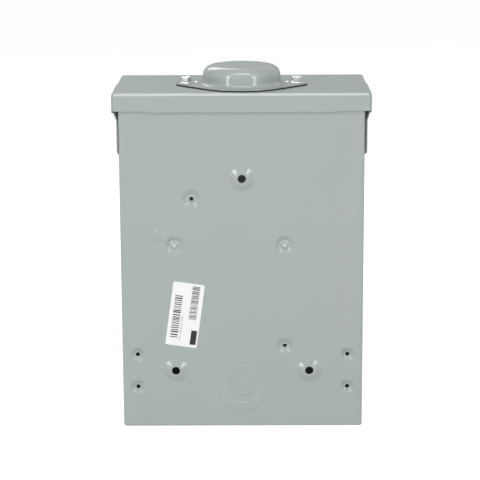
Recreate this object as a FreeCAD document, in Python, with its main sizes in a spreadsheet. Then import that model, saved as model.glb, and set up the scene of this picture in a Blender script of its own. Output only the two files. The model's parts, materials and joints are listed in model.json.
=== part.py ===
import FreeCAD, Part
import math
import os
import re
import Sketcher

# A surface-mounted meter socket enclosure: a folded steel box with a rain hood, a hub closure
# plate on top, the meter socket inside and a ringless front cover. Millimetres. X runs across,
# -Y is the front that the meter plugs into, +Y is the wall side, and Z is up from the floor of
# the box. A depth is measured from the back face of the box towards the front.

V = FreeCAD.Vector
Rotation = FreeCAD.Rotation

SIZES = {
    # sheet metal
    "sheet": 1.5, "bend": 3, "body_width": 270, "body_depth": 122,
    "side_return": 14, "bottom_lip": 25, "bevel_room": 0.1,
    # hood
    "hood_height": 381, "hood_side_gap": 6, "hood_overhang": 27.4, "hood_gap": 0.5, "hood_bend": 3,
    "rear_lip": 20.65, "lip_notch": 1.2, "lip_half": 104, "front_lip": 18,
    "skirt_start": 21.5, "skirt_knee": 21.6, "skirt_ease": 2, "skirt_round": 86.4, "skirt_drop": 41,
    "ear_depth": 72, "ear_drop": 82, "ear_round": 9, "ear_foot": 19.8,
    "rail_height": 24, "rail_leg": 16,
    # stamped wall bosses and dimples of the back
    "boss_height": 3.5, "boss_radius": 13.5, "boss_flat": 7.4, "wall_hole": 4.6,
    "wall_spread": 75, "wall_low": 66.9, "wall_drop": 94.4,
    "plug_recess": 0.4, "plug_flange": 6.4, "plug_thick": 1.2, "plug_dish": 2.6, "plug_dish_depth": 0.8,
    "stamp_ease": 0.12, "stamp_round": 0.25,
    "dimple_depth": 3, "strap_inset": 17, "strap_high": 84.5, "strap_low": 46.7,
    "strap_dimple": 7.5, "strap_flat": 3.9, "screw_hole": 2.3,
    "spare_left": 47.6, "spare_low": 94.7, "spare_dimple": 8.7, "spare_flat": 4.6,
    "spare_right": 55.8, "spare_high": 263.4, "spare_wide": 10.2, "spare_land": 5.6,
    "pan_screw_right": 75.5, "pan_screw_left": 47.3, "pan_screw_high": 211,
    "pan_dimple": 11, "pan_flat": 6,
    "mark_side": 91.6, "mark_high": 222, "mark_radius": 8, "mark_flat": 4.8, "mark_height": 0.35,
    # knockouts
    "knock_step": 0.55, "knock_slit": 0.35,
    "ring_inner": 13.6, "ring_inner_high": 53.2, "ring_second": 17.4, "ring_second_high": 53.4,
    "ring_third": 21.8, "ring_third_high": 50.1, "ring_outer": 28.5, "ring_outer_high": 46.4,
    "floor_ring_inner": 17.5, "floor_ring_middle": 25, "floor_ring_outer": 32, "floor_ring_depth": 66,
    # hub closure
    "hub_depth": 62, "hub_opening": 36, "gasket": 1, "plate_radius": 56, "plate_tip": 11,
    "plate_screw": 62, "cap_radius": 43.4, "cap_height": 23.2, "cap_round": 11.4, "cap_foot": 4.5,
    "cap_edge": 2, "hub_screw": 3, "hub_washer": 6.6, "hub_washer_height": 1.4, "hub_hex": 5.9,
    "hub_head": 6, "hub_screw_length": 14, "hub_nut": 6.4, "hub_nut_height": 5,
    "stud_gap": 3.2, "stud_radius": 2.1, "stud_height": 1.3, "stud_depth": 68,
    # paper label
    "label_width": 35.5, "label_height": 73.6, "label_side": 64.2, "label_high": 131.3,
    "label_turn": 8, "label_paper": 0.2,
    # socket pan
    "pan_margin": 6, "pan_wide_margin": 34, "pan_low": 96, "pan_high": 304, "pan_flange": 12,
    "wall_access": 9, "machine_screw": 2.2, "screw_head": 4.6, "screw_head_height": 3.2, "slip": 0.15,
    "slot_width": 1.2, "slot_depth": 1.6, "head_root": 1, "pan_screw_length": 5.1,
    "tip_hollow": 1.1, "tip_depth": 1,
    # insulating blocks
    "phase_spread": 38, "meter_high": 200, "jaw_reach": 54, "block_width": 36, "block_reach": 86,
    "block_face": 60, "bridge_reach": 27, "bridge_face": 30, "block_round": 4, "block_screw": 18,
    "driver_room": 0.6,
    # jaws, springs and lugs
    "strap_thick": 2.5, "strap_width": 20, "jaw_height": 19, "jaw_gap": 7, "jaw_throat": 1.4,
    "jaw_mouth": 5, "jaw_sheet": 1.6, "jaw_waist": 14, "jaw_pinch": 36, "jaw_top": 45,
    "leaf_round": 2, "leaf": 0.8, "leaf_gap": 0.2, "leaf_top": 34, "leaf_height": 13,
    "lug_width": 24, "lug_reach": 22, "lug_length": 24, "lug_tall": 30, "lug_round": 5,
    "lug_bore": 8, "lug_bore_high": 12.5, "set_screw": 6, "set_screw_proud": 2, "socket_share": 0.5,
    "socket_deep": 4, "lug_screw_head": 4.2, "lug_screw_deep": 1.8, "jaw_bolt_length": 16,
    # neutral and ground
    "neutral_width": 18, "neutral_reach": 60, "neutral_thick": 3, "neutral_screw": 11,
    "neutral_lug": 38, "neutral_lug_wide": 20, "neutral_lug_long": 24, "neutral_lug_tall": 25,
    "neutral_bore": 6.5, "neutral_bore_high": 10.4, "neutral_set": 5, "ground_inset": 15,
    "ground_high": 135, "ground_wide": 14, "ground_long": 18, "ground_tall": 14, "ground_bore": 3.6,
    "ground_bore_high": 5.4, "ground_set": 3.2,
    # front cover
    "cover_gap": 0.6, "cover_side_gap": 0.8, "cover_low": 2, "cover_top_gap": 3.5,
    "cover_flange": 18, "collar_radius": 96, "collar_height": 20, "collar_round": 5,
    "collar_foot": 4, "aperture": 81, "aperture_lip": 5,
    # seal staple and latch
    "staple_side": 46, "staple_thick": 2, "staple_low": 8, "staple_tall": 14, "staple_reach": 16,
    "staple_foot": 22, "staple_hole": 3.6, "staple_slot": 0.9, "rivet": 1.7, "rivet_head": 3.2,
    "rivet_first": 8.25,
    "rivet_second": 16.5, "rivet_head_height": 1.2, "rivet_proud": 0.5,
    "latch_high": 39, "latch_shaft": 5, "latch_fit": 0.35, "latch_gap": 0.5,
    "latch_disc": 12, "latch_disc_thick": 3, "latch_wing": 8, "latch_wing_tall": 9,
    "wing_down": 22.5, "wing_up": 10.5, "wing_round": 3.6, "cam_round": 5.9, "shaft_proud": 1,
    "cam_width": 13, "cam_thick": 2, "cam_reach": 26, "latch_nut": 6.6,
    "latch_nut_thick": 4,
}

doc = FreeCAD.newDocument("MeterSocket")
sheet = doc.addObject("Spreadsheet::Sheet", "Sizes")
for row, (name, value) in enumerate(SIZES.items(), start=1):
    sheet.set(f"A{row}", name)
    sheet.set(f"B{row}", str(value))
    sheet.setAlias(f"B{row}", name)
doc.recompute()

NODES = []


# ---- expressions ---------------------------------------------------------------------------

def bound(text):
    """Write the names of sizes in an expression as cells of the sheet."""
    return re.sub(r"[a-z][a-z_]*[a-z](?![a-z_(])", lambda found: "Sizes." + found.group(0), text)


def value(text):
    """The present value of an expression."""
    return float(sheet.evalExpression(bound(text)))


# sizes that follow from others
HOOD_FRONT = "(body_depth + hood_overhang)"
HOOD_WIDTH = "(body_width + 2*hood_side_gap + 2*sheet)"
BACK = f"(({HOOD_FRONT} - boss_height)/2)"
CAP_SKIRT = "(cap_radius + cap_foot + cap_edge)"
COLLAR_EDGE = "(collar_radius + collar_foot*2)"
PAN_LEFT = "(phase_spread + block_width/2 + pan_margin)"
PAN_RIGHT = "(phase_spread + block_width/2 + pan_wide_margin)"
GROUND_SIDE = f"({PAN_RIGHT} - ground_inset)"
STRAP_SPREAD = "(body_width/2 - strap_inset)"
WALL_HIGH = "(hood_height - wall_drop)"
STUD_SPREAD = "(cap_radius + cap_foot + stud_gap)"


def y_at(depth):
    """The Y coordinate of a depth."""
    return f"({BACK} - ({depth}))"


def ahead(depth):
    """A depth along the normal of the XZ plane, which points to the front."""
    return f"(({depth}) - {BACK})"


def bind(thing, name, text):
    thing.setExpression(name, bound(text))


# ---- sketches ------------------------------------------------------------------------------

def new_body(label):
    body = doc.addObject("PartDesign::Body", "Body_" + label)
    body.Label = label
    NODES.append(body)
    return body


def new_sketch(body, plane, offset=("0", "0", "0")):
    """A sketch on an origin plane of its body, moved by an offset in the plane's own axes."""
    sketch = body.newObject("Sketcher::SketchObject", f"Sketch_{body.Label}_{len(body.Group)}")
    origin_plane = [item for item in body.Origin.OriginFeatures if item.Role == plane][0]
    sketch.AttachmentSupport = (origin_plane, [""])
    sketch.MapMode = "FlatFace"
    for axis, text in zip("xyz", offset):
        if text != "0":
            bind(sketch, f"AttachmentOffset.Base.{axis}", text)
    return sketch


def pin(sketch, geometry, end, across, up):
    """Hold one point of a sketch at two expressions."""
    for kind, text, axis in (("DistanceX", across, -2), ("DistanceY", up, -1)):
        if text == "0":
            sketch.addConstraint(Sketcher.Constraint("PointOnObject", geometry, end, axis))
            continue
        index = sketch.addConstraint(
            Sketcher.Constraint(kind, -1, 1, geometry, end, value(text)))
        sketch.setExpression(f"Constraints[{index}]", bound(text))


def rounding(before, corner, after, radius):
    """The centre, the two tangent points and the turn of a rounded corner."""
    back = (before - corner).normalize()
    on = (after - corner).normalize()
    half = back.getAngle(on) / 2
    centre = corner + (back + on).normalize() * (radius / math.sin(half))
    reach = radius / math.tan(half)
    return centre, corner + back * reach, corner + on * reach, back.cross(on).z


def draw_outline(sketch, corners):
    """Draw a closed outline. A corner is (x, y) or (x, y, radius), all of them expressions."""
    points = [V(value(corner[0]), value(corner[1]), 0) for corner in corners]
    count = len(points)
    rounded = []
    for index, corner in enumerate(corners):
        if len(corner) == 2:
            rounded.append((None, points[index], points[index], 0))
            continue
        rounded.append(rounding(points[index - 1], points[index], points[(index + 1) % count],
                                value(corner[2])))
    lines = []
    for index in range(count):
        start = rounded[index][2]
        end = rounded[(index + 1) % count][1]
        lines.append(sketch.addGeometry(Part.LineSegment(start, end)))
    for index, corner in enumerate(corners):
        before, after = lines[index - 1], lines[index]
        if len(corner) == 2:
            sketch.addConstraint(Sketcher.Constraint("Coincident", before, 2, after, 1))
            pin(sketch, after, 1, corner[0], corner[1])
            continue
        centre, first, last, turn = rounded[index]
        if turn > 0:
            first, last = last, first
        angles = [math.atan2(point.y - centre.y, point.x - centre.x) for point in (first, last)]
        circle = Part.Circle(centre, V(0, 0, 1), value(corner[2]))
        arc = sketch.addGeometry(Part.ArcOfCircle(circle, *angles))
        first_end, last_end = (1, 2) if turn < 0 else (2, 1)
        sketch.addConstraint(Sketcher.Constraint("Tangent", before, 2, arc, first_end))
        sketch.addConstraint(Sketcher.Constraint("Tangent", after, 1, arc, last_end))
        radius = sketch.addConstraint(Sketcher.Constraint("Radius", arc, value(corner[2])))
        sketch.setExpression(f"Constraints[{radius}]", bound(corner[2]))
        sharp = sketch.addGeometry(Part.Point(points[index]), True)
        pin(sketch, sharp, 1, corner[0], corner[1])
        sketch.addConstraint(Sketcher.Constraint("PointOnObject", sharp, 1, before))
        sketch.addConstraint(Sketcher.Constraint("PointOnObject", sharp, 1, after))


def draw_circle(sketch, across, up, radius):
    circle = sketch.addGeometry(
        Part.Circle(V(value(across), value(up), 0), V(0, 0, 1), value(radius)))
    pin(sketch, circle, 3, across, up)
    index = sketch.addConstraint(Sketcher.Constraint("Radius", circle, value(radius)))
    sketch.setExpression(f"Constraints[{index}]", bound(radius))


def box_corners(left, low, right, high, *radius):
    """The corners of a rectangle, all sharp or all with one radius."""
    return [(left, low, *radius), (right, low, *radius), (right, high, *radius),
            (left, high, *radius)]


# ---- features ------------------------------------------------------------------------------

def volume(body):
    return 0.0 if body.Shape.isNull() else body.Shape.Volume


def finish_feature(body, feature, adds):
    """Recompute and make sure that the feature added or removed material."""
    before = volume(body)
    feature.recompute()
    body.Tip = feature
    doc.recompute()
    grown = volume(body) - before
    if (grown <= 0) if adds else (grown >= 0):
        raise RuntimeError(f"{body.Label}: {feature.Name} changed the volume by {grown}")
    return feature


def feature_name(kind, body):
    return f"{kind}_{body.Label}_{len(body.Group)}"


def pad(body, sketch, length):
    feature = body.newObject("PartDesign::Pad", feature_name("Pad", body))
    feature.Profile = sketch
    bind(feature, "Length", length)
    return finish_feature(body, feature, True)


def cut(body, sketch, length):
    """Cut along the normal of the sketch, from its plane."""
    feature = body.newObject("PartDesign::Pocket", feature_name("Pocket", body))
    feature.Profile = sketch
    feature.Type = "Length"
    feature.Reversed = True
    bind(feature, "Length", length)
    return finish_feature(body, feature, False)


def revolve(body, sketch):
    """Turn a profile about the upright axis of its sketch."""
    feature = body.newObject("PartDesign::Revolution", feature_name("Turn", body))
    feature.Profile = sketch
    feature.ReferenceAxis = (sketch, ["V_Axis"])
    feature.Angle = 360
    return finish_feature(body, feature, True)


def round_edges(body, radius, wanted):
    """Fillet the edges of the present tip that a test picks."""
    base = body.Tip
    names = [f"Edge{index}" for index, edge in enumerate(base.Shape.Edges, start=1)
             if wanted(edge)]
    feature = body.newObject("PartDesign::Fillet", feature_name("Fillet", body))
    feature.Base = (base, names)
    bind(feature, "Radius", radius)
    body.Tip = feature
    doc.recompute()
    return feature


def hollow(body, open_face):
    """Turn a solid into folded sheet, open at the face that a test picks."""
    base = body.Tip
    names = [f"Face{index}" for index, face in enumerate(base.Shape.Faces, start=1)
             if open_face(face)]
    feature = body.newObject("PartDesign::Thickness", feature_name("Thickness", body))
    feature.Base = (base, names)
    bind(feature, "Value", "sheet")
    feature.Reversed = True
    feature.Join = 0
    return finish_feature(body, feature, False)


def at_z(item, height):
    return abs(item.BoundBox.ZMin - height) < 1e-4 and abs(item.BoundBox.ZMax - height) < 1e-4


# ---- parts made of turned and straight primitives --------------------------------------------

FORWARD = Rotation(V(1, 0, 0), 90)
UPWARD = Rotation()


def place(thing, across, y, z, turn):
    thing.Placement = FreeCAD.Placement(V(0, 0, 0), turn)
    for axis, text in zip("xyz", (across, y, z)):
        bind(thing, f"Placement.Base.{axis}", text)


def cylinder(radius, length, across, y, z, turn=FORWARD):
    thing = doc.addObject("Part::Cylinder", "Cylinder")
    bind(thing, "Radius", radius)
    bind(thing, "Height", length)
    place(thing, across, y, z, turn)
    return thing


def prism(radius, length, across, y, z, turn=FORWARD):
    thing = doc.addObject("Part::Prism", "Prism")
    thing.Polygon = 6
    bind(thing, "Circumradius", radius)
    bind(thing, "Height", length)
    place(thing, across, y, z, turn)
    return thing


def joined(pieces):
    thing = doc.addObject("Part::MultiFuse", "Joined")
    thing.Shapes = pieces
    return thing


def without(base, tool):
    thing = doc.addObject("Part::Cut", "Without")
    thing.Base = base
    thing.Tool = tool
    return thing


def group(label, pieces):
    """One node made of separate alike solids."""
    thing = doc.addObject("Part::Compound", "Group_" + label)
    thing.Links = pieces
    thing.Label = label
    NODES.append(thing)


def name_node(thing, label):
    thing.Label = label
    NODES.append(thing)


def pan_head_screw(across, z, face, length):
    """A slotted pan head screw that points to the back, with its head on a face at a depth."""
    head = cylinder("screw_head", "screw_head_height", across, y_at(face), z)
    shank = cylinder("machine_screw", f"{length}+head_root", across,
                     y_at(f"{face}-({length})"), z)
    slit = doc.addObject("Part::Box", "Slit")
    bind(slit, "Length", "screw_head*3")
    bind(slit, "Width", "slot_depth")
    bind(slit, "Height", "slot_width")
    place(slit, f"({across})-screw_head*1.5", y_at(f"{face}+screw_head_height"),
          f"({z})-slot_width/2", UPWARD)
    return without(joined([head, shank]), slit)


def set_screw(radius, across, z, base, tall, bore, bore_high):
    """A socket set screw that stands proud of a lug and reaches down to the lug's wire bore."""
    top, length = f"{base}+{tall}+set_screw_proud", f"{tall}+set_screw_proud-{bore_high}-{bore}/2"
    stem = cylinder(radius, length, across, y_at(f"{top}-({length})"), z)
    socket = prism(f"{radius}*socket_share", "socket_deep", across, y_at(f"{top}-socket_deep"), z)
    return without(stem, socket)


# ---- enclosure -----------------------------------------------------------------------------

def stamp(body, across, height, outer, land, hole, rise):
    """Press a round boss out of the back, or a dimple into it where the rise is negative."""
    sketch = new_sketch(body, "XZ_Plane", (across, height, ahead("0")))
    draw_circle(sketch, "0", "0", outer)
    cut(body, sketch, "sheet")
    section = new_sketch(body, "XY_Plane", (across, "0", height))
    top = f"({BACK} + ({rise}))"
    inner_top = f"({top} - sheet)"
    slope = f"(({outer}) - ({land}))"
    foot = f"(({outer}) - {slope}*stamp_ease)"
    shoulder = f"(({land}) + {slope}*stamp_ease)"
    # the round of each corner stays small beside the slope that it joins
    corner = f"{slope}*stamp_round"
    inside_edge = [] if hole == "0" else [(hole, inner_top)]
    outside_edge = [] if hole == "0" else [(hole, top)]
    if hole == "0":
        inside_edge = [("0", inner_top)]
        outside_edge = [("0", top)]
    draw_outline(section, inside_edge + outside_edge + [
        (shoulder, top, corner), (foot, BACK, corner), (outer, BACK),
        (outer, f"({BACK}-sheet)"), (foot, f"({BACK}-sheet)", corner),
        (shoulder, inner_top, corner)])
    revolve(body, section)


def make_body_shell():
    """Back, sides, floor and the front return, folded with one bend radius."""
    body = new_body("body_shell")
    sketch = new_sketch(body, "XY_Plane")
    draw_outline(sketch, box_corners("-body_width/2", y_at("body_depth"), "body_width/2",
                                     y_at("0")))
    pad(body, sketch, "hood_height-sheet")
    top = value("hood_height-sheet")
    round_edges(body, "bend", lambda edge: not at_z(edge, top))
    hollow(body, lambda face: at_z(face, top))
    opening = new_sketch(body, "XZ_Plane", ("0", "0", ahead("body_depth-sheet*2")))
    draw_outline(opening, box_corners("side_return-body_width/2", "bottom_lip",
                                      "body_width/2-side_return", "hood_height"))
    cut(body, opening, "sheet*3")
    bevel = new_sketch(body, "YZ_Plane", ("0", "0", "-body_width"))
    # clears the inside bend of the hood, which hangs a gap behind the back
    edge = "(hood_bend-sheet-hood_gap+bevel_room)"
    top_edge = "hood_height-sheet"
    draw_outline(bevel, [(y_at(edge), f"{top_edge}+{edge}"), (y_at(f"-{edge}"), f"{top_edge}+{edge}"),
                         (y_at(f"-{edge}"), f"{top_edge}-{edge}"), (y_at("0"), f"{top_edge}-{edge}"),
                         (y_at(edge), top_edge)])
    cut(body, bevel, "body_width*2")
    for across in ("-wall_spread", "wall_spread"):
        stamp(body, across, "wall_low", "boss_radius", "boss_flat", "wall_hole", "boss_height")
    stamp(body, "0", WALL_HIGH, "boss_radius", "boss_flat", "wall_hole", "boss_height")
    for across in (f"-{STRAP_SPREAD}", STRAP_SPREAD):
        for height in ("strap_low", "strap_high"):
            stamp(body, across, height, "strap_dimple", "strap_flat", "screw_hole",
                  "-dimple_depth")
    stamp(body, "-spare_left", "spare_low", "spare_dimple", "spare_flat", "screw_hole",
          "-dimple_depth")
    stamp(body, "spare_right", "spare_high", "spare_wide", "spare_land", "screw_hole",
          "-dimple_depth")
    for across in ("-pan_screw_left", "pan_screw_right"):
        stamp(body, across, "pan_screw_high", "pan_dimple", "pan_flat", "screw_hole",
              "-dimple_depth")
    stamp(body, "mark_side", "mark_high", "mark_radius", "mark_flat", "0", "mark_height")
    back_knockouts(body)
    floor_knockouts(body)
    staple_slot(body)


def make_hole_plug():
    """A push-in rubber plug that keeps rain out of the upper wall hole until it is used."""
    start = y_at("plug_recess-boss_height")
    stem = cylinder("wall_hole-slip", "sheet-plug_recess+plug_thick", "0", start, WALL_HIGH)
    flange = cylinder("plug_flange", "plug_thick", "0", y_at("sheet-boss_height"), WALL_HIGH)
    dish = cylinder("plug_dish", "plug_dish_depth", "0", start, WALL_HIGH)
    name_node(without(joined([stem, flange]), dish), "hole_plug")


def back_knockouts(body):
    """Eccentric half-sheared rings low in the back: every second ring stands proud."""
    rings = [("ring_inner", "ring_inner_high", "ring_second", "ring_second_high"),
             ("ring_third", "ring_third_high", "ring_outer", "ring_outer_high")]
    for inner, inner_high, outer, outer_high in rings:
        inside = new_sketch(body, "XZ_Plane", ("0", "0", ahead("sheet-knock_step")))
        draw_circle(inside, "0", outer_high, outer)
        draw_circle(inside, "0", inner_high, inner)
        cut(body, inside, "knock_step")
        outside = new_sketch(body, "XZ_Plane", ("0", "0", ahead("-knock_step")))
        draw_circle(outside, "0", outer_high, f"{outer}-knock_slit")
        draw_circle(outside, "0", inner_high, f"{inner}+knock_slit")
        pad(body, outside, "knock_step")


def floor_knockouts(body):
    """Concentric half-sheared rings in the floor, raised into the box."""
    under = new_sketch(body, "XY_Plane")
    draw_circle(under, "0", y_at("floor_ring_depth"), "floor_ring_outer")
    draw_circle(under, "0", y_at("floor_ring_depth"), "floor_ring_middle")
    cut(body, under, "knock_step")
    over = new_sketch(body, "XY_Plane", ("0", "0", "sheet"))
    draw_circle(over, "0", y_at("floor_ring_depth"), "floor_ring_outer-knock_slit")
    draw_circle(over, "0", y_at("floor_ring_depth"), "floor_ring_middle+knock_slit")
    pad(body, over, "knock_step")
    centre = new_sketch(body, "XY_Plane")
    draw_circle(centre, "0", y_at("floor_ring_depth"), "floor_ring_inner")
    cut(body, centre, "knock_step")
    disc = new_sketch(body, "XY_Plane", ("0", "0", "sheet"))
    draw_circle(disc, "0", y_at("floor_ring_depth"), "floor_ring_inner-knock_slit")
    pad(body, disc, "knock_step")


def staple_slot(body):
    """The slot and the rivet holes of the seal staple in the front lip."""
    sketch = new_sketch(body, "XZ_Plane", ("0", "0", ahead("body_depth-sheet*1.5")))
    draw_outline(sketch, box_corners("staple_side-slip", "staple_low-slip",
                                     "staple_side+staple_thick+slip",
                                     "staple_low+staple_tall+slip"))
    for across in ("staple_side+rivet_first", "staple_side+rivet_second"):
        draw_circle(sketch, across, "staple_low+staple_tall/2", "rivet+slip/2")
    cut(body, sketch, "sheet*2")


def make_hood():
    """Top sheet with a rear lip, a front lip, curved side skirts and two front ears."""
    body = new_body("hood")
    sketch = new_sketch(body, "XY_Plane", ("0", "0", "hood_height-ear_drop"))
    side, rear, front = f"{HOOD_WIDTH}/2", y_at("-hood_gap-sheet"), y_at(HOOD_FRONT)
    draw_outline(sketch, [(f"-{side}", front, "hood_bend"), (side, front, "hood_bend"),
                          (side, rear, "hood_bend"), (f"-{side}", rear, "hood_bend")])
    pad(body, sketch, "ear_drop")
    top = value("hood_height")
    low = value("hood_height-ear_drop")
    round_edges(body, "hood_bend", lambda edge: at_z(edge, top))
    hollow(body, lambda face: at_z(face, low))
    hood_side_cut(body)
    hood_front_cut(body)
    hood_rear_cut(body)
    hood_holes(body)


def hood_side_cut(body):
    """Cut both skirts along one curve that drops into the upright edge of the ear."""
    sketch = new_sketch(body, "YZ_Plane", ("0", "0", f"-{HOOD_WIDTH}"))
    start = (y_at("-hood_gap-sheet*3"), "hood_height-skirt_start")
    draw_outline(sketch, [
        start,
        (y_at("skirt_knee"), "hood_height-skirt_start-skirt_ease", "skirt_round"),
        (y_at("ear_depth"), "hood_height-skirt_drop"),
        (y_at("ear_depth"), "hood_height-ear_drop", "ear_round"),
        (y_at("ear_depth+ear_foot"), "hood_height-ear_drop"),
        (y_at("ear_depth+ear_foot"), "hood_height-ear_drop*1.5"),
        (y_at("-hood_gap-sheet*3"), "hood_height-ear_drop*1.5")])
    cut(body, sketch, f"{HOOD_WIDTH}*2")


def hood_front_cut(body):
    """Open the front between the ears, below the front lip."""
    sketch = new_sketch(body, "XZ_Plane", ("0", "0", ahead(f"{HOOD_FRONT}-hood_bend-hood_gap")))
    draw_outline(sketch, box_corners(f"-{HOOD_WIDTH}", "hood_height-ear_drop*1.2", HOOD_WIDTH,
                                     "hood_height-front_lip"))
    cut(body, sketch, "hood_bend*2")


def hood_rear_cut(body):
    """Trim the rear lip, a little shorter beyond its long middle stretch."""
    sketch = new_sketch(body, "XZ_Plane", ("0", "0", ahead("-hood_gap-sheet*2")))
    high, low = "hood_height-rear_lip+lip_notch", "hood_height-rear_lip"
    draw_outline(sketch, [
        (f"-{HOOD_WIDTH}", high), ("-lip_half-lip_notch", high), ("-lip_half", low),
        ("lip_half", low), ("lip_half+lip_notch", high), (HOOD_WIDTH, high),
        (HOOD_WIDTH, "hood_height-ear_drop*1.2"), (f"-{HOOD_WIDTH}", "hood_height-ear_drop*1.2")])
    cut(body, sketch, "sheet*2+hood_bend")


def hood_holes(body):
    sketch = new_sketch(body, "XY_Plane", ("0", "0", "hood_height-sheet*2"))
    draw_circle(sketch, "0", y_at("hub_depth"), "hub_opening")
    for across in ("-plate_screw", "plate_screw"):
        draw_circle(sketch, across, y_at("hub_depth"), "hub_screw+slip")
    cut(body, sketch, "sheet*3")


def make_cover_rail():
    """The angle across the top of the opening, which the cover's top edge stands against."""
    body = new_body("cover_rail")
    sketch = new_sketch(body, "YZ_Plane", ("0", "0", "side_return-body_width/2"))
    front, inside = y_at("body_depth"), y_at("body_depth-sheet")
    top, under = "hood_height-sheet", "hood_height-sheet*2"
    draw_outline(sketch, [
        (front, f"{top}-rail_height"), (front, top, "bend"), (y_at("body_depth-rail_leg"), top),
        (y_at("body_depth-rail_leg"), under), (inside, under, "bend-sheet"),
        (inside, f"{top}-rail_height")])
    pad(body, sketch, "body_width-side_return*2")


# ---- hub closure ---------------------------------------------------------------------------

PLATE_LIFT = "(plate_radius-plate_tip)"
PLATE_CORNER = f"(plate_radius*plate_screw/{PLATE_LIFT})"
PLATE_CREST = f"(plate_radius*plate_screw/sqrt(plate_screw^2-{PLATE_LIFT}^2))"


def hub_outline(sketch):
    """A round plate drawn out to a small round at each screw, by lines tangent to both."""
    middle = y_at("hub_depth")
    draw_outline(sketch, [
        (PLATE_CORNER, middle, "plate_tip"),
        ("0", f"{middle}+{PLATE_CREST}", "plate_radius"),
        (f"-{PLATE_CORNER}", middle, "plate_tip"),
        ("0", f"{middle}-{PLATE_CREST}", "plate_radius")])


def hub_sheet(label, base, thick, opening):
    body = new_body(label)
    sketch = new_sketch(body, "XY_Plane", ("0", "0", base))
    hub_outline(sketch)
    pad(body, sketch, thick)
    holes = new_sketch(body, "XY_Plane", ("0", "0", f"{base}-{thick}"))
    draw_circle(holes, "0", y_at("hub_depth"), opening)
    for across in ("-plate_screw", "plate_screw"):
        draw_circle(holes, across, y_at("hub_depth"), "hub_screw+slip")
    cut(body, holes, f"({thick})*3")
    return body


def make_hub():
    hub_sheet("hub_gasket", "hood_height", "gasket", "hub_opening")
    plate = hub_sheet("hub_closure_plate", "hood_height+gasket", "sheet", CAP_SKIRT)
    section = new_sketch(plate, "XZ_Plane", ("0", "0", ahead("hub_depth")))
    top, face, under = "hood_height+cap_height", "hood_height+gasket+sheet", "hood_height+gasket"
    draw_outline(section, [
        ("0", top), ("cap_radius", top, "cap_round"), ("cap_radius", face, "cap_foot"),
        (CAP_SKIRT, face), (CAP_SKIRT, under),
        ("cap_radius-sheet", under, "cap_foot+sheet"),
        ("cap_radius-sheet", f"{top}-sheet", "cap_round-sheet"), ("0", f"{top}-sheet")])
    revolve(plate, section)
    middle, seat = y_at("hub_depth"), "hood_height+gasket+sheet"
    screws, nuts, studs = [], [], []
    for across in ("-plate_screw", "plate_screw"):
        washer = cylinder("hub_washer", "hub_washer_height", across, middle, seat, UPWARD)
        head = prism("hub_hex", "hub_head", across, middle, f"{seat}+hub_washer_height", UPWARD)
        shank = cylinder("hub_screw", "hub_screw_length+head_root", across, middle,
                         f"{seat}-hub_screw_length", UPWARD)
        screws.append(joined([washer, head, shank]))
        nut = prism("hub_nut", "hub_nut_height", across, middle,
                    "hood_height-sheet-hub_nut_height", UPWARD)
        bore = cylinder("hub_screw+slip", "hub_nut_height*2", across, middle,
                        "hood_height-sheet-hub_nut_height*1.5", UPWARD)
        nuts.append(without(nut, bore))
    for across in (f"-{STUD_SPREAD}", STUD_SPREAD):
        studs.append(cylinder("stud_radius", "stud_height", across, y_at("stud_depth"), seat,
                              UPWARD))
    group("hub_plate_screws", screws)
    group("hub_weld_nuts", nuts)
    group("hub_plate_rivets", studs)


def make_label():
    """A blank paper label, stuck on a little askew."""
    body = new_body("rear_label")
    sketch = new_sketch(body, "XZ_Plane", ("label_side", "label_high", ahead("-label_paper")))
    bind(sketch, "AttachmentOffset.Rotation.Angle", "label_turn")
    draw_outline(sketch, box_corners("-label_width/2", "-label_height/2", "label_width/2",
                                     "label_height/2"))
    pad(body, sketch, "label_paper")


# ---- socket --------------------------------------------------------------------------------

PAN_SEAT = "(sheet+dimple_depth)"
PAN_FACE = "(sheet*2+dimple_depth)"
SIDES = {"left": "-phase_spread", "right": "phase_spread"}
ENDS = {"line": "+", "load": "-"}


def make_socket_pan():
    """The galvanised tray that carries the socket, flanged forward at both sides."""
    body = new_body("socket_pan")
    sketch = new_sketch(body, "XY_Plane", ("0", "0", "pan_low"))
    seat, face = y_at(PAN_SEAT), y_at(PAN_FACE)
    edge = y_at(f"{PAN_SEAT}+pan_flange")
    draw_outline(sketch, [
        (f"-{PAN_LEFT}", edge), (f"-{PAN_LEFT}", seat, "bend"), (PAN_RIGHT, seat, "bend"),
        (PAN_RIGHT, edge), (f"{PAN_RIGHT}-sheet", edge), (f"{PAN_RIGHT}-sheet", face, "bend-sheet"),
        (f"sheet-{PAN_LEFT}", face, "bend-sheet"), (f"sheet-{PAN_LEFT}", edge)])
    pad(body, sketch, "pan_high-pan_low")
    holes = new_sketch(body, "XZ_Plane", ("0", "0", ahead(f"{PAN_SEAT}-sheet")))
    for across in ("-pan_screw_left", "pan_screw_right"):
        draw_circle(holes, across, "pan_screw_high", "machine_screw+slip")
    for across in SIDES.values():
        for sign in ENDS.values():
            draw_circle(holes, across, f"meter_high{sign}block_screw", "machine_screw+slip")
    for sign in ENDS.values():
        draw_circle(holes, "0", f"meter_high{sign}neutral_screw", "machine_screw+slip")
    draw_circle(holes, "0", WALL_HIGH, "wall_access")
    cut(body, holes, "sheet*3")


def make_pan_screws():
    """Thread-forming screws whose hollow tips show in the two dimples from behind."""
    screws = []
    for across in ("-pan_screw_left", "pan_screw_right"):
        screw = pan_head_screw(across, "pan_screw_high", PAN_FACE, "pan_screw_length")
        tip = cylinder("tip_hollow", "tip_depth", across, y_at(f"{PAN_FACE}-pan_screw_length"),
                       "pan_screw_high")
        screws.append(without(screw, tip))
    group("pan_screws", screws)


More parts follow.
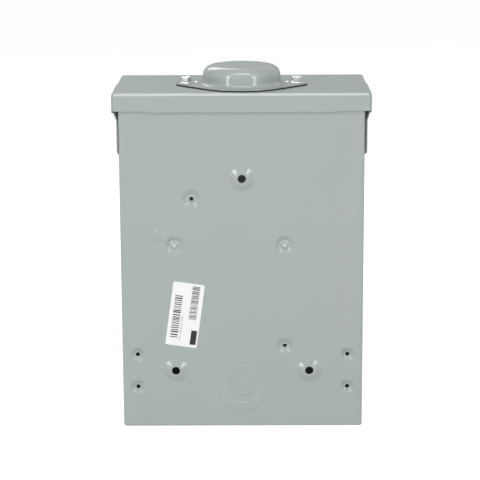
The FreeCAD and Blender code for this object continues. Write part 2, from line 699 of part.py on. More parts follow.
def make_block(name, across):
    """A moulded insulating block: two pedestals for the jaws, joined by a low bridge."""
    body = new_body("block_" + name)
    sketch = new_sketch(body, "YZ_Plane", ("0", "0", f"{across}-block_width/2"))
    foot, face, bridge = y_at(PAN_FACE), y_at("block_face"), y_at("bridge_face")
    low, high = "meter_high-block_reach", "meter_high+block_reach"
    draw_outline(sketch, [
        (foot, low), (face, low, "block_round"), (face, "meter_high-bridge_reach", "block_round"),
        (bridge, "meter_high-bridge_reach", "block_round"),
        (bridge, "meter_high+bridge_reach", "block_round"),
        (face, "meter_high+bridge_reach", "block_round"), (face, high, "block_round"),
        (foot, high)])
    pad(body, sketch, "block_width")
    holes = new_sketch(body, "XZ_Plane", (across, "0", ahead("sheet")))
    for sign in ENDS.values():
        draw_circle(holes, "0", f"meter_high{sign}block_screw", "machine_screw+slip")
    if name == "left":
        draw_circle(holes, f"-pan_screw_left-({across})", "pan_screw_high",
                    "screw_head+driver_room")
    cut(body, holes, "block_face")
    bores = new_sketch(body, "XZ_Plane", (across, "0", ahead("block_face-jaw_bolt_length")))
    for sign in ENDS.values():
        draw_circle(bores, "0", f"meter_high{sign}jaw_reach", "machine_screw+slip")
        draw_circle(bores, "0", f"meter_high{sign}(jaw_reach+lug_reach)", "machine_screw+slip")
    cut(body, bores, "jaw_bolt_length*2")


def make_jaw(name, across, sign):
    """A flat strap on the block with two spring arms that pinch towards the meter's blade."""
    body = new_body(name)
    centre = f"(meter_high{sign}jaw_reach)"
    ends = [f"{centre}{'-' if sign == '+' else '+'}jaw_height/2",
            f"{centre}{sign}(lug_reach+lug_length/2)"]
    strap = new_sketch(body, "XZ_Plane", (across, "0", ahead("block_face")))
    low, high = ends if sign == "+" else ends[::-1]
    draw_outline(strap, box_corners("-strap_width/2", low, "strap_width/2", high, "sheet"))
    for reach in ("0", "lug_reach"):
        draw_circle(strap, "0", f"{centre}{sign}{reach}", "machine_screw+slip")
    pad(body, strap, "strap_thick")
    root = "block_face+strap_thick"
    for side in ("", "-"):
        arm = new_sketch(body, "XY_Plane", (across, "0", f"{centre}-jaw_height/2"))
        path = [("jaw_gap", f"{root}-strap_thick/2"), ("jaw_gap", f"{root}+jaw_waist"),
                ("jaw_throat", f"{root}+jaw_pinch"), ("jaw_mouth", f"{root}+jaw_top")]
        draw_outline(arm, leaf_outline(path, "jaw_sheet", side))
        pad(body, arm, "jaw_height")


def leaf_outline(path, thick, side):
    """A bent leaf from the line of its inner face, mirrored where the side is a minus sign."""
    def corner(x, depth, inner):
        radius = [] if inner else ["leaf_round"]
        return (f"{side}({x})", y_at(depth), *radius)
    last = len(path) - 1
    inner = [corner(x, depth, index in (0, last)) for index, (x, depth) in enumerate(path)]
    outer = [corner(f"{x}+{thick}", depth, index in (0, last))
             for index, (x, depth) in enumerate(path)]
    return inner + outer[::-1]


def make_spring(name, across, sign):
    """Two steel leaves that press the arms of one jaw together."""
    centre = f"(meter_high{sign}jaw_reach)"
    root = "block_face+strap_thick"
    leaves = []
    for side in ("", "-"):
        body = doc.addObject("PartDesign::Body", "Leaf")
        body.Label = f"{name}_leaf{len(leaves)}"
        sketch = new_sketch(body, "XY_Plane", (across, "0", f"{centre}-leaf_height/2"))
        shift = "jaw_sheet+leaf_gap"
        end = "jaw_throat+(jaw_gap-jaw_throat)*(jaw_pinch-leaf_top)/(jaw_pinch-jaw_waist)"
        path = [(f"jaw_gap+{shift}", root), (f"jaw_gap+{shift}", f"{root}+jaw_waist"),
                (f"{end}+{shift}", f"{root}+leaf_top")]
        draw_outline(sketch, leaf_outline(path, "leaf", side))
        pad(body, sketch, "leaf_height")
        leaves.append(body)
    group(name, leaves)


def make_lug(name, across, centre, base, wide, long, tall, bore, bore_high, screw, drill):
    """An aluminium lug: an upright wire bore, a set screw from the front, a screw in its floor."""
    body = new_body(name)
    sketch = new_sketch(body, "XY_Plane", (across, "0", f"{centre}-{long}/2"))
    back, front = y_at(base), y_at(f"{base}+{tall}")
    draw_outline(sketch, [(f"-{wide}/2", front, "lug_round"), (f"{wide}/2", front, "lug_round"),
                          (f"{wide}/2", back), (f"-{wide}/2", back)])
    draw_circle(sketch, "0", y_at(f"{base}+{bore_high}"), bore)
    pad(body, sketch, long)
    thread = new_sketch(body, "XZ_Plane", (across, "0", ahead(f"{base}+{bore_high}")))
    draw_circle(thread, "0", centre, f"{screw}+slip")
    cut(body, thread, tall)
    if drill:
        floor = new_sketch(body, "XZ_Plane", (across, "0", ahead(f"{base}-head_root")))
        draw_circle(floor, "0", centre, "machine_screw+slip")
        cut(body, floor, bore_high)
        seat = new_sketch(body, "XZ_Plane", (across, "0", ahead(f"{base}+{bore_high}-{bore}")))
        draw_circle(seat, "0", centre, "lug_screw_head+slip")
        cut(body, seat, bore)


def make_phase(name, across):
    """Everything on one insulating block."""
    make_block(name, across)
    for end, sign in ENDS.items():
        make_jaw(f"{end}_jaw_{name}", across, sign)
        make_spring(f"{end}_spring_{name}", across, sign)
        centre = f"(meter_high{sign}(jaw_reach+lug_reach))"
        make_lug(f"{end}_lug_{name}", across, centre, "(block_face+strap_thick)", "lug_width",
                 "lug_length", "lug_tall", "lug_bore", "lug_bore_high", "set_screw", True)


def make_phase_screws():
    block_screws, jaw_bolts, lug_screws, set_screws = [], [], [], []
    for across in SIDES.values():
        for sign in ENDS.values():
            block_screws.append(pan_head_screw(across, f"meter_high{sign}block_screw",
                                               "bridge_face", f"bridge_face-{PAN_SEAT}"))
            jaw_bolts.append(pan_head_screw(across, f"meter_high{sign}jaw_reach",
                                            "block_face+strap_thick", "jaw_bolt_length-1"))
            centre = f"meter_high{sign}(jaw_reach+lug_reach)"
            floor = "(block_face+strap_thick+lug_bore_high-lug_bore)"
            head = cylinder("lug_screw_head", "lug_screw_deep", across, y_at(floor), centre)
            shank = cylinder("machine_screw", "jaw_bolt_length+head_root", across,
                             y_at(f"{floor}-jaw_bolt_length"), centre)
            lug_screws.append(joined([head, shank]))
            set_screws.append(set_screw("set_screw", across, centre, "block_face+strap_thick",
                                        "lug_tall", "lug_bore", "lug_bore_high"))
    group("block_screws", block_screws)
    group("jaw_bolts", jaw_bolts)
    group("lug_floor_screws", lug_screws)
    group("lug_set_screws", set_screws)


def make_neutral():
    """The bonded neutral strap between the blocks, with a lug at each end."""
    body = new_body("neutral_strap")
    sketch = new_sketch(body, "XZ_Plane", ("0", "0", ahead(PAN_FACE)))
    draw_outline(sketch, box_corners("-neutral_width/2", "meter_high-neutral_reach",
                                     "neutral_width/2", "meter_high+neutral_reach", "bend"))
    for sign in ENDS.values():
        draw_circle(sketch, "0", f"meter_high{sign}neutral_screw", "machine_screw+slip")
    pad(body, sketch, "neutral_thick")
    top = f"({PAN_FACE}+neutral_thick)"
    set_screws, screws = [], []
    for end, sign in ENDS.items():
        centre = f"(meter_high{sign}neutral_lug)"
        make_lug(f"neutral_lug_{end}", "0", centre, top, "neutral_lug_wide", "neutral_lug_long",
                 "neutral_lug_tall", "neutral_bore", "neutral_bore_high", "neutral_set", False)
        set_screws.append(set_screw("neutral_set", "0", centre, top, "neutral_lug_tall",
                                    "neutral_bore", "neutral_bore_high"))
        screws.append(pan_head_screw("0", f"meter_high{sign}neutral_screw", top,
                                     "neutral_thick+sheet"))
    group("neutral_screws", screws)
    group("neutral_set_screws", set_screws)


def make_ground():
    """A small ground lug on the free side of the pan."""
    make_lug("ground_lug", GROUND_SIDE, "ground_high", PAN_FACE, "ground_wide", "ground_long",
             "ground_tall", "ground_bore", "ground_bore_high", "ground_set", False)
    name_node(set_screw("ground_set", GROUND_SIDE, "ground_high", PAN_FACE, "ground_tall",
                        "ground_bore", "ground_bore_high"), "ground_set_screw")


# ---- front cover ---------------------------------------------------------------------------

COVER_BACK = "(body_depth+cover_gap)"
COVER_FACE = "(body_depth+cover_gap+sheet)"
COVER_TOP = "(hood_height-sheet-cover_top_gap)"


def make_front_cover():
    """The ringless cover: a flanged sheet with a drawn collar round the meter opening."""
    body = new_body("front_cover")
    sketch = new_sketch(body, "XY_Plane", ("0", "0", "cover_low"))
    inner, outer = "(body_width/2+cover_side_gap)", "(body_width/2+cover_side_gap+sheet)"
    edge, back, face = y_at(f"{COVER_FACE}-cover_flange"), y_at(COVER_BACK), y_at(COVER_FACE)
    draw_outline(sketch, [
        (f"-{outer}", edge), (f"-{outer}", face, "bend"), (outer, face, "bend"), (outer, edge),
        (inner, edge), (inner, back, "bend-sheet"), (f"-{inner}", back, "bend-sheet"),
        (f"-{inner}", edge)])
    pad(body, sketch, f"{COVER_TOP}-cover_low")
    round_hole = new_sketch(body, "XZ_Plane", ("0", "meter_high", ahead(f"{COVER_BACK}-sheet")))
    draw_circle(round_hole, "0", "0", COLLAR_EDGE)
    cut(body, round_hole, "sheet*3")
    section = new_sketch(body, "XY_Plane", ("0", "0", "meter_high"))
    rim, rim_back = y_at(f"{COVER_FACE}+collar_height"), y_at(f"{COVER_BACK}+collar_height")
    lip = y_at(f"{COVER_FACE}+collar_height-aperture_lip")
    draw_outline(section, [
        ("aperture", lip), ("aperture", rim, "bend"), ("collar_radius", rim, "collar_round"),
        ("collar_radius", face, "collar_foot"), (COLLAR_EDGE, face), (COLLAR_EDGE, back),
        ("collar_radius-sheet", back, "collar_foot+sheet"),
        ("collar_radius-sheet", rim_back, "collar_round-sheet"),
        ("aperture+sheet", rim_back, "bend-sheet"), ("aperture+sheet", lip)])
    revolve(body, section)
    openings = new_sketch(body, "XZ_Plane", ("0", "0", ahead(f"{COVER_BACK}-sheet")))
    draw_circle(openings, "0", "latch_high", "latch_shaft+latch_fit")
    draw_outline(openings, box_corners("staple_side-staple_slot", "staple_low-staple_slot",
                                       "staple_side+staple_thick+staple_slot",
                                       "staple_low+staple_tall+staple_slot*2"))
    cut(body, openings, "sheet*3")


def make_staple():
    """The seal staple: a tongue with a seal hole, riveted behind the front lip."""
    body = new_body("seal_staple")
    sketch = new_sketch(body, "XY_Plane", ("0", "0", "staple_low"))
    lip = "body_depth-sheet"
    tongue = "staple_side+staple_thick"
    draw_outline(sketch, [
        ("staple_side", y_at(f"{lip}-staple_thick"), "bend"),
        ("staple_side", y_at(f"{COVER_FACE}+staple_reach")),
        (tongue, y_at(f"{COVER_FACE}+staple_reach")), (tongue, y_at(lip)),
        ("staple_side+staple_foot", y_at(lip)),
        ("staple_side+staple_foot", y_at(f"{lip}-staple_thick"))])
    pad(body, sketch, "staple_tall")
    hole = new_sketch(body, "YZ_Plane", ("0", "0", "staple_side-staple_thick"))
    draw_circle(hole, y_at(f"{COVER_FACE}+staple_reach/2"), "staple_low+staple_tall/2",
                "staple_hole")
    cut(body, hole, "staple_thick*3")
    rivets = []
    holes = new_sketch(body, "XZ_Plane", ("0", "0", ahead(f"{lip}-staple_thick*1.5")))
    for across in ("staple_side+rivet_first", "staple_side+rivet_second"):
        draw_circle(holes, across, "staple_low+staple_tall/2", "rivet+slip/2")
        middle = "staple_low+staple_tall/2"
        shank = cylinder("rivet", "staple_thick+sheet+rivet_proud", across,
                         y_at(f"{lip}-staple_thick-rivet_proud"), middle)
        head = cylinder("rivet_head", "rivet_head_height", across,
                        y_at(f"{lip}-staple_thick-rivet_head_height"), middle)
        rivets.append(joined([shank, head]))
    cut(body, holes, "staple_thick*2")
    group("staple_rivets", rivets)


def make_latch():
    """The quarter-turn latch: a wing outside, a shaft, and a cam that lies behind the lip."""
    wing_back = f"({COVER_FACE}+latch_gap)"
    cam_face = "(body_depth-sheet-latch_gap)"
    cam_back = f"({cam_face}-cam_thick)"
    wing = new_body("latch_wing")
    disc = new_sketch(wing, "XZ_Plane", ("0", "latch_high", ahead(wing_back)))
    draw_circle(disc, "0", "0", "latch_disc")
    pad(wing, disc, "latch_disc_thick")
    handle = new_sketch(wing, "XZ_Plane", ("0", "latch_high",
                                           ahead(f"{wing_back}+latch_disc_thick*0.5")))
    draw_outline(handle, box_corners("-latch_wing/2", "-wing_down", "latch_wing/2", "wing_up",
                                     "wing_round"))
    pad(wing, handle, "latch_wing_tall")
    shaft = cylinder("latch_shaft", f"{wing_back}-{cam_back}+latch_nut_thick+shaft_proud", "0",
                     y_at(f"{cam_back}-latch_nut_thick-shaft_proud"), "latch_high")
    name_node(shaft, "latch_shaft")
    cam = new_body("latch_cam")
    plate = new_sketch(cam, "XZ_Plane", ("0", "latch_high", ahead(cam_back)))
    draw_outline(plate, box_corners("-cam_width/2", "-cam_reach", "cam_width/2", "cam_width/2",
                                    "cam_round"))
    draw_circle(plate, "0", "0", "latch_shaft+slip/2")
    pad(cam, plate, "cam_thick")
    nut = prism("latch_nut", "latch_nut_thick", "0", y_at(f"{cam_back}-latch_nut_thick"),
                "latch_high")
    bore = cylinder("latch_shaft+slip/2", "latch_nut_thick*2", "0",
                    y_at(f"{cam_back}-latch_nut_thick*1.5"), "latch_high")
    name_node(without(nut, bore), "latch_nut")


# ---- the whole enclosure ---------------------------------------------------------------------

def check_all():
    """Stop on any failed object and on any sub-part that isn't a set of valid solids."""
    doc.recompute()
    for item in doc.Objects:
        if {"Invalid", "Error"} & set(item.State):
            raise RuntimeError(f"{item.Label} failed: {item.State}")
    for node in NODES:
        shape = node.Shape
        if shape.isNull() or not shape.isValid() or not shape.Solids:
            raise RuntimeError(f"{node.Label} has no valid solid")


def write_all():
    os.makedirs("parts", exist_ok=True)
    for node in NODES:
        node.Shape.exportStep(f"parts/{node.Label}.step")
        print(node.Label, len(node.Shape.Solids), round(node.Shape.Volume, 1))


make_body_shell()
make_hole_plug()
make_hood()
make_cover_rail()
make_hub()
make_label()
make_socket_pan()
make_pan_screws()
for side_name, side_place in SIDES.items():
    make_phase(side_name, side_place)
make_phase_screws()
make_neutral()
make_ground()
make_front_cover()
make_staple()
make_latch()
check_all()
write_all()
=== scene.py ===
# %% [markdown]
# # A meter socket enclosure, seen from the wall side
# The real object is a box of folded sheet steel with a rain hood on top, a closure plate over
# the hub hole in that hood, and the socket that a plug-in meter pushes into from the front. The
# construction comes in as a fixed frame. This lesson models the visible sheet metal, hardware
# and label again with softer edges and pressed shapes, and gives every piece its finish.

# %% Load the frame
import json
import math
import random

import bmesh
import bpy
from mathutils import Matrix, Vector


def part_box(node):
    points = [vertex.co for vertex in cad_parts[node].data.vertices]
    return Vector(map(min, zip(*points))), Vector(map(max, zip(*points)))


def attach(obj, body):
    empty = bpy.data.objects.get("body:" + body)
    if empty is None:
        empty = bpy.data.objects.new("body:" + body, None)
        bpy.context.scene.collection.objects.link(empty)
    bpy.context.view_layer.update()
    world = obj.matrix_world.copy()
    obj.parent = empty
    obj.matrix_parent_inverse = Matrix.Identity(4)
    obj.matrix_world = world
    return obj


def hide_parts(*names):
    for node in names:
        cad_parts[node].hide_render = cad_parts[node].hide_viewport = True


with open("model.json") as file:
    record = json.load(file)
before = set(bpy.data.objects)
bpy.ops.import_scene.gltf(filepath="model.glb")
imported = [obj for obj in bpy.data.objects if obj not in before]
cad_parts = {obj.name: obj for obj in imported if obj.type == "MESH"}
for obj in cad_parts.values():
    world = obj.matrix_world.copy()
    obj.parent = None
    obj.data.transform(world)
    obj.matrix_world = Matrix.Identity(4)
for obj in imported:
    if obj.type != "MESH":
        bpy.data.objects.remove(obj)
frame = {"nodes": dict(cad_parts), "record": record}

bpy.context.view_layer.update()

MM = 0.001
TURN = 2 * math.pi

# %% [markdown]
# ## The sizes
# A box like this is drawn from a few sizes, so they are read from the frame where a node shows
# them. The pressed shapes in the back have no node of their own, so their places are named here,
# in millimetres from the middle of the floor.

# %% Sizes from the frame and the pressed shapes
shell_low, shell_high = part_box("body_shell")
hood_low, hood_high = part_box("hood")
cover_low, cover_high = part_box("front_cover")
plate_low, plate_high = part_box("hub_closure_plate")
gasket_low, gasket_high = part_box("hub_gasket")

BOSS_HEIGHT = 3.5 * MM
BACK = shell_high.y - BOSS_HEIGHT
SHEET = 1.5 * MM
BEND = 3 * MM
SIDE = shell_high.x
FRONT = shell_low.y
TOP = shell_high.z
ROOF = hood_high.z
HUB = Vector((0, (plate_low.y + plate_high.y) / 2, gasket_high.z))

# across, up, outer radius, flat radius, hole radius, rise towards the wall, all in millimetres
PRESSED = {
    "wall_boss_left": (-75, 66.9, 14.9, 6.6, 4.6, 3.5),
    "wall_boss_right": (75, 66.9, 14.9, 6.6, 4.6, 3.5),
    "wall_boss_top": (0, 286.6, 14.9, 6.6, 4.6, 3.5),
    "strap_low_left": (-118, 46.7, 8.8, 3.5, 2.3, -3),
    "strap_low_right": (118, 46.7, 8.8, 3.5, 2.3, -3),
    "strap_high_left": (-118, 84.5, 8.8, 3.5, 2.3, -3),
    "strap_high_right": (118, 84.5, 8.8, 3.5, 2.3, -3),
    "spare_low": (-47.6, 94.7, 10, 4.3, 2.3, -3),
    "spare_high": (55.8, 263.4, 11.2, 5, 2.3, -3),
    "pan_dimple_left": (-47.3, 211, 11.2, 5.4, 2.3, -3),
    "pan_dimple_right": (75.5, 211, 11.2, 5.4, 2.3, -3),
    "faint_mark": (91.6, 222, 8, 6.4, 0, 0.6),
}
print("pressed shapes", len(PRESSED), "box side", round(SIDE, 4), "back at", round(BACK, 5))

# %% [markdown]
# ## Camera, light and floor
# The box stands on a white sweep. Two tall soft boxes stand at either side of the camera, so that
# a curved wall shows two pale bands with a darker middle. A strip hangs above, and a box in front
# lights the cover side. The white all around is the colour of the floor and the world as the
# camera sees them: the lamps stay gentle.

# %% Camera
CAMERA_AT = Vector((-11.18, BACK / MM + 1946.58, 668.94)) * MM
CAMERA_TOWARDS = Vector((0.00672641, -0.97407593, -0.22612715))
CAMERA_ROLL = -0.0047

camera_data = bpy.data.cameras.new("camera")
camera_data.sensor_width = 36
camera_data.lens = 135.19
camera_data.clip_end = 50
camera = bpy.data.objects.new("camera", camera_data)
bpy.context.scene.collection.objects.link(camera)
aim = CAMERA_TOWARDS.to_track_quat("-Z", "Y").to_matrix().to_4x4()
camera.matrix_world = Matrix.Translation(CAMERA_AT) @ aim @ Matrix.Rotation(CAMERA_ROLL, 4, "Z")
bpy.context.scene.camera = camera
print("camera at", [round(value, 3) for value in camera.location])


# %% Node helpers
def add_node(tree, kind, **settings):
    """Add a shader node. Settings are its properties, or its inputs by name with _ for a space."""
    node = tree.nodes.new(kind)
    for name, value in settings.items():
        if hasattr(node, name):
            setattr(node, name, value)
        else:
            node.inputs[name.replace("_", " ")].default_value = value
    return node


def wire(output, socket):
    output.id_data.links.new(output, socket)


def calc(tree, operation, *values):
    """A Math node's output. Each value is another node's output or a plain number."""
    node = add_node(tree, "ShaderNodeMath", operation=operation)
    for socket, value in zip(node.inputs, values):
        if isinstance(value, bpy.types.NodeSocket):
            wire(value, socket)
        else:
            socket.default_value = value
    return node.outputs[0]


def remap(tree, value, **ends):
    """A Map Range node's output: From_Min to From_Max becomes To_Min to To_Max."""
    node = add_node(tree, "ShaderNodeMapRange", **ends)
    wire(value, node.inputs["Value"])
    return node.outputs[0]


# %% Lamps and world
MIDDLE = (0, 0, 0.2)
WORLD_LIGHT = 0.21


def soft_box(name, place, width, height, power):
    lamp = bpy.data.lights.new(name, "AREA")
    lamp.shape = "RECTANGLE"
    lamp.size = width
    lamp.size_y = height
    lamp.energy = power
    holder = bpy.data.objects.new(name, lamp)
    turn = (Vector(MIDDLE) - Vector(place)).to_track_quat("-Z", "Y").to_matrix().to_4x4()
    holder.matrix_world = Matrix.Translation(place) @ turn
    bpy.context.scene.collection.objects.link(holder)


def seen_by_camera(tree):
    """1 for what the camera sees, straight or in a gloss, and 0 for the light on the box."""
    ray = add_node(tree, "ShaderNodeLightPath")
    return calc(tree, "MAXIMUM", ray.outputs["Is Camera Ray"], ray.outputs["Is Glossy Ray"])


def make_world():
    world = bpy.data.worlds.new("world")
    bpy.context.scene.world = world
    world.use_nodes = True
    tree = world.node_tree
    tree.nodes.clear()
    strength = remap(tree, seen_by_camera(tree), To_Min=WORLD_LIGHT, To_Max=1.0)
    sky = add_node(tree, "ShaderNodeBackground", Color=(1, 1, 1, 1))
    wire(strength, sky.inputs["Strength"])
    end = add_node(tree, "ShaderNodeOutputWorld")
    wire(sky.outputs[0], end.inputs["Surface"])


soft_box("soft_box_left", (1.45, 1.65, 0.88), 0.32, 1.75, 16)
soft_box("soft_box_right", (-1.4, 1.75, 0.88), 0.32, 1.75, 15.2)
soft_box("strip_box", (0, 1.1, 2.2), 1.5, 0.5, 16)
soft_box("front_box", (0.7, -1.8, 1.7), 1.2, 1.2, 16)
make_world()
bpy.context.scene.view_settings.view_transform = "Standard"
print("lamps", [lamp.name for lamp in bpy.data.lights])

# %% Floor
FLOOR_SIZE = 12
WHITE_GLOW = 0.88


def deselect_all():
    bpy.ops.object.select_all(action="DESELECT")


def make_floor():
    """A white sweep whose own colour hides where the floor ends, and that keeps the shadow."""
    deselect_all()
    bpy.ops.mesh.primitive_plane_add(size=FLOOR_SIZE, location=(0, 0, 0))
    floor = bpy.context.object
    floor.name = "floor"
    sweep = bpy.data.materials.new("white_sweep")
    sweep.use_nodes = True
    tree = sweep.node_tree
    tree.nodes.clear()
    bounce = add_node(tree, "ShaderNodeBsdfDiffuse", Color=(0.9, 0.9, 0.9, 1))
    dimmed = add_node(tree, "ShaderNodeBsdfDiffuse", Color=(0.45, 0.45, 0.45, 1))
    glow = add_node(tree, "ShaderNodeEmission", Color=(1, 1, 1, 1), Strength=WHITE_GLOW)
    seen_floor = add_node(tree, "ShaderNodeAddShader")
    wire(dimmed.outputs[0], seen_floor.inputs[0])
    wire(glow.outputs[0], seen_floor.inputs[1])
    through = add_node(tree, "ShaderNodeLightPath").outputs["Is Transmission Ray"]
    either = calc(tree, "MAXIMUM", seen_by_camera(tree), through)
    mix = add_node(tree, "ShaderNodeMixShader")
    wire(either, mix.inputs[0])
    wire(bounce.outputs[0], mix.inputs[1])
    wire(seen_floor.outputs[0], mix.inputs[2])
    end = add_node(tree, "ShaderNodeOutputMaterial")
    wire(mix.outputs[0], end.inputs["Surface"])
    floor.data.materials.append(sweep)


make_floor()
print("floor", FLOOR_SIZE, "m square")

# %% [markdown]
# ## Finishes
# Powder coat is not flat: it has a fine orange peel, a little cloudiness, and the faint rubs that
# handling leaves. Those effects are node groups, built once and set differently in each material.

# %% A group for cloudy colour and rubs
def new_group(name, inputs, outputs):
    group = bpy.data.node_groups.new(name, "ShaderNodeTree")
    for label, kind, default in inputs:
        socket = group.interface.new_socket(label, in_out="INPUT", socket_type=kind)
        socket.default_value = default
    for label, kind in outputs:
        group.interface.new_socket(label, in_out="OUTPUT", socket_type=kind)
    start = group.nodes.new("NodeGroupInput")
    end = group.nodes.new("NodeGroupOutput")
    return group, start, end


def add_noise(tree, place, **settings):
    node = add_node(tree, "ShaderNodeTexNoise", **settings)
    wire(place, node.inputs["Vector"])
    return node.outputs["Fac"]


def make_cloud_group():
    """Colour that drifts a little, with thin pale rubs, both over Object coordinates."""
    group, start, end = new_group(
        "cloudy_coat",
        [("Color", "NodeSocketColor", (0.5, 0.5, 0.5, 1)), ("Drift", "NodeSocketFloat", 0.04),
         ("Rubs", "NodeSocketFloat", 0.3)],
        [("Color", "NodeSocketColor")])
    place = add_node(group, "ShaderNodeTexCoord").outputs["Object"]
    cloud = add_noise(group, place, Scale=14.0, Detail=4.0, Roughness=0.6)
    swing = remap(group, cloud, To_Min=-1.0, To_Max=1.0)
    amount = calc(group, "MULTIPLY_ADD", swing, start.outputs["Drift"], 1.0)
    shade = add_node(group, "ShaderNodeVectorMath", operation="SCALE")
    wire(start.outputs["Color"], shade.inputs[0])
    wire(amount, shade.inputs["Scale"])
    stretch = add_node(group, "ShaderNodeMapping", Rotation=(0.3, 0.5, 0.2), Scale=(260, 30, 34))
    wire(place, stretch.inputs["Vector"])
    streak = add_noise(group, stretch.outputs[0], Scale=1.0, Detail=3.0, Roughness=0.7)
    patch = add_noise(group, place, Scale=22.0, Detail=2.0)
    thin = remap(group, streak, From_Min=0.66, From_Max=0.76)
    rare = remap(group, patch, From_Min=0.55, From_Max=0.68)
    rubs = calc(group, "MULTIPLY", calc(group, "MULTIPLY", thin, rare), start.outputs["Rubs"])
    rubbed = add_node(group, "ShaderNodeMix", data_type="RGBA")
    rubbed.inputs["B"].default_value = (0.62, 0.65, 0.64, 1)
    wire(rubs, rubbed.inputs["Factor"])
    wire(shade.outputs[0], rubbed.inputs["A"])
    wire(rubbed.outputs["Result"], end.inputs["Color"])
    return group


cloud_group = make_cloud_group()
print("cloud group", len(cloud_group.nodes), "nodes")


# %% A group for fine grain
def make_grain_group():
    """A fine height pattern: orange peel, casting grain or rolled metal, by its scale."""
    group, start, end = new_group(
        "fine_grain",
        [("Scale", "NodeSocketFloat", 600.0), ("Stretch", "NodeSocketVector", (1, 1, 1))],
        [("Height", "NodeSocketFloat")])
    place = add_node(group, "ShaderNodeTexCoord")
    shape = add_node(group, "ShaderNodeVectorMath", operation="MULTIPLY")
    wire(place.outputs["Object"], shape.inputs[0])
    wire(start.outputs["Stretch"], shape.inputs[1])
    noise = add_noise(group, shape.outputs[0], Detail=2.0, Roughness=0.5)
    wire(start.outputs["Scale"], noise.node.inputs["Scale"])
    wire(noise, end.inputs["Height"])
    return group


grain_group = make_grain_group()
print("grain group", len(grain_group.nodes), "nodes")


# %% A material from those groups
GRAIN_DEPTH = 0.02 * MM
GLOSS_SWING = 0.06


def use_group(tree, group, **values):
    node = tree.nodes.new("ShaderNodeGroup")
    node.node_tree = group
    for name, value in values.items():
        node.inputs[name].default_value = value
    return node


def finish(name, colour, rough, metallic=0.0, drift=0.03, rubs=0.0, grain=600.0,
           stretch=(1, 1, 1), bump=0.1, edge_on_rise=0.0):
    """Clouded colour and fine grain. The roughness follows the grain and rises seen edge-on."""
    material = bpy.data.materials.new(name)
    material.use_nodes = True
    tree = material.node_tree
    surface = tree.nodes["Principled BSDF"]
    surface.inputs["Metallic"].default_value = metallic
    coat = use_group(tree, cloud_group, Color=(*colour, 1), Drift=drift, Rubs=rubs)
    wire(coat.outputs["Color"], surface.inputs["Base Color"])
    height = use_group(tree, grain_group, Scale=grain, Stretch=stretch).outputs["Height"]
    gloss = remap(tree, height, To_Min=rough - GLOSS_SWING, To_Max=rough + GLOSS_SWING)
    facing = add_node(tree, "ShaderNodeLayerWeight").outputs["Facing"]
    edge_on = remap(tree, facing, From_Min=0.62, From_Max=0.8, To_Max=edge_on_rise)
    wire(calc(tree, "ADD", gloss, edge_on), surface.inputs["Roughness"])
    relief = add_node(tree, "ShaderNodeBump", Strength=bump, Distance=GRAIN_DEPTH)
    wire(height, relief.inputs["Height"])
    wire(relief.outputs["Normal"], surface.inputs["Normal"])
    return material


# %% The finishes of this box
PAINT = (0.392, 0.444, 0.418)


def powder_coat(name):
    """The grey paint, glossy face-on and dull edge-on."""
    return finish(name, PAINT, 0.155, drift=0.035, rubs=0.35, grain=420.0, bump=0.05,
                  edge_on_rise=0.7)


paint = powder_coat("grey_powder_coat")
zinc = finish("bright_zinc", (0.74, 0.76, 0.79), 0.24, 1.0, drift=0.1, grain=900.0)
galvanised = finish("galvanised_sheet", (0.56, 0.58, 0.6), 0.42, 1.0, drift=0.16, grain=160.0)
rubber = finish("black_rubber", (0.006, 0.006, 0.006), 0.85, drift=0.1, grain=1500.0)
insulator = finish("black_moulding", (0.018, 0.018, 0.02), 0.45, drift=0.1, grain=1300.0,
                   bump=0.25)
tinned = finish("tinned_copper", (0.66, 0.64, 0.6), 0.3, 1.0, drift=0.1, grain=700.0,
                stretch=(1, 1, 0.06))
spring_steel = finish("spring_steel", (0.5, 0.5, 0.52), 0.28, 1.0, drift=0.06, grain=900.0,
                      stretch=(1, 1, 0.05))
aluminium = finish("sawn_aluminium", (0.7, 0.71, 0.72), 0.38, 1.0, drift=0.06, grain=800.0,
                   stretch=(1, 1, 0.08))
paper = finish("label_paper", (0.94, 0.94, 0.935), 0.55, drift=0.012, grain=1800.0, bump=0.15)
ink = finish("black_ink", (0.018, 0.018, 0.02), 0.7, drift=0.1, grain=1800.0)
print("materials", len(bpy.data.materials))

# %% A finish for every node of the frame
SLOT_FINISH = {
    "body_paint": paint, "cover_paint": paint, "gasket": rubber, "zinc": zinc, "paper": paper,
    "galvanised": galvanised, "insulator": insulator, "tinned": tinned,
    "spring_steel": spring_steel, "lug_aluminium": aluminium,
}
slot_of = {entry["node"]: entry["material_slot"] for entry in frame["record"]["subparts"]}
body_of = {node: body for body, nodes in frame["record"]["behaviour"]["bodies"].items()
           for node in nodes}
for node, thing in frame["nodes"].items():
    thing.data.materials.clear()
    thing.data.materials.append(SLOT_FINISH[slot_of[node]])
frame["nodes"]["pan_screws"].data.materials[0] = galvanised
print("nodes given a finish", len(frame["nodes"]))

# %% [markdown]
# ## Helpers for modelling
# An edit-mode operator works on what is selected, so each step first picks faces or edges by
# their place. Keeping that in one small function makes the modelling below read like the clicks
# of a person at the screen.

# %% Edit mode
def only(piece):
    """Make one piece the only selected one."""
    deselect_all()
    piece.select_set(True)
    bpy.context.view_layer.objects.active = piece


def edit(piece, kind="FACE"):
    only(piece)
    bpy.ops.object.mode_set(mode="EDIT")
    bpy.ops.mesh.select_mode(type=kind)


def leave():
    bpy.ops.object.mode_set(mode="OBJECT")


def select_mesh():
    """Select the whole mesh, in edit mode."""
    bpy.ops.mesh.select_all(action="SELECT")


def face_outwards():
    """Turn all faces outwards, in edit mode."""
    select_mesh()
    bpy.ops.mesh.normals_make_consistent(inside=False)


def extrude_all(shift):
    """Extrude a flat outline into a closed solid, in edit mode."""
    select_mesh()
    bpy.ops.mesh.extrude_region_move(TRANSFORM_OT_translate={"value": shift})
    face_outwards()


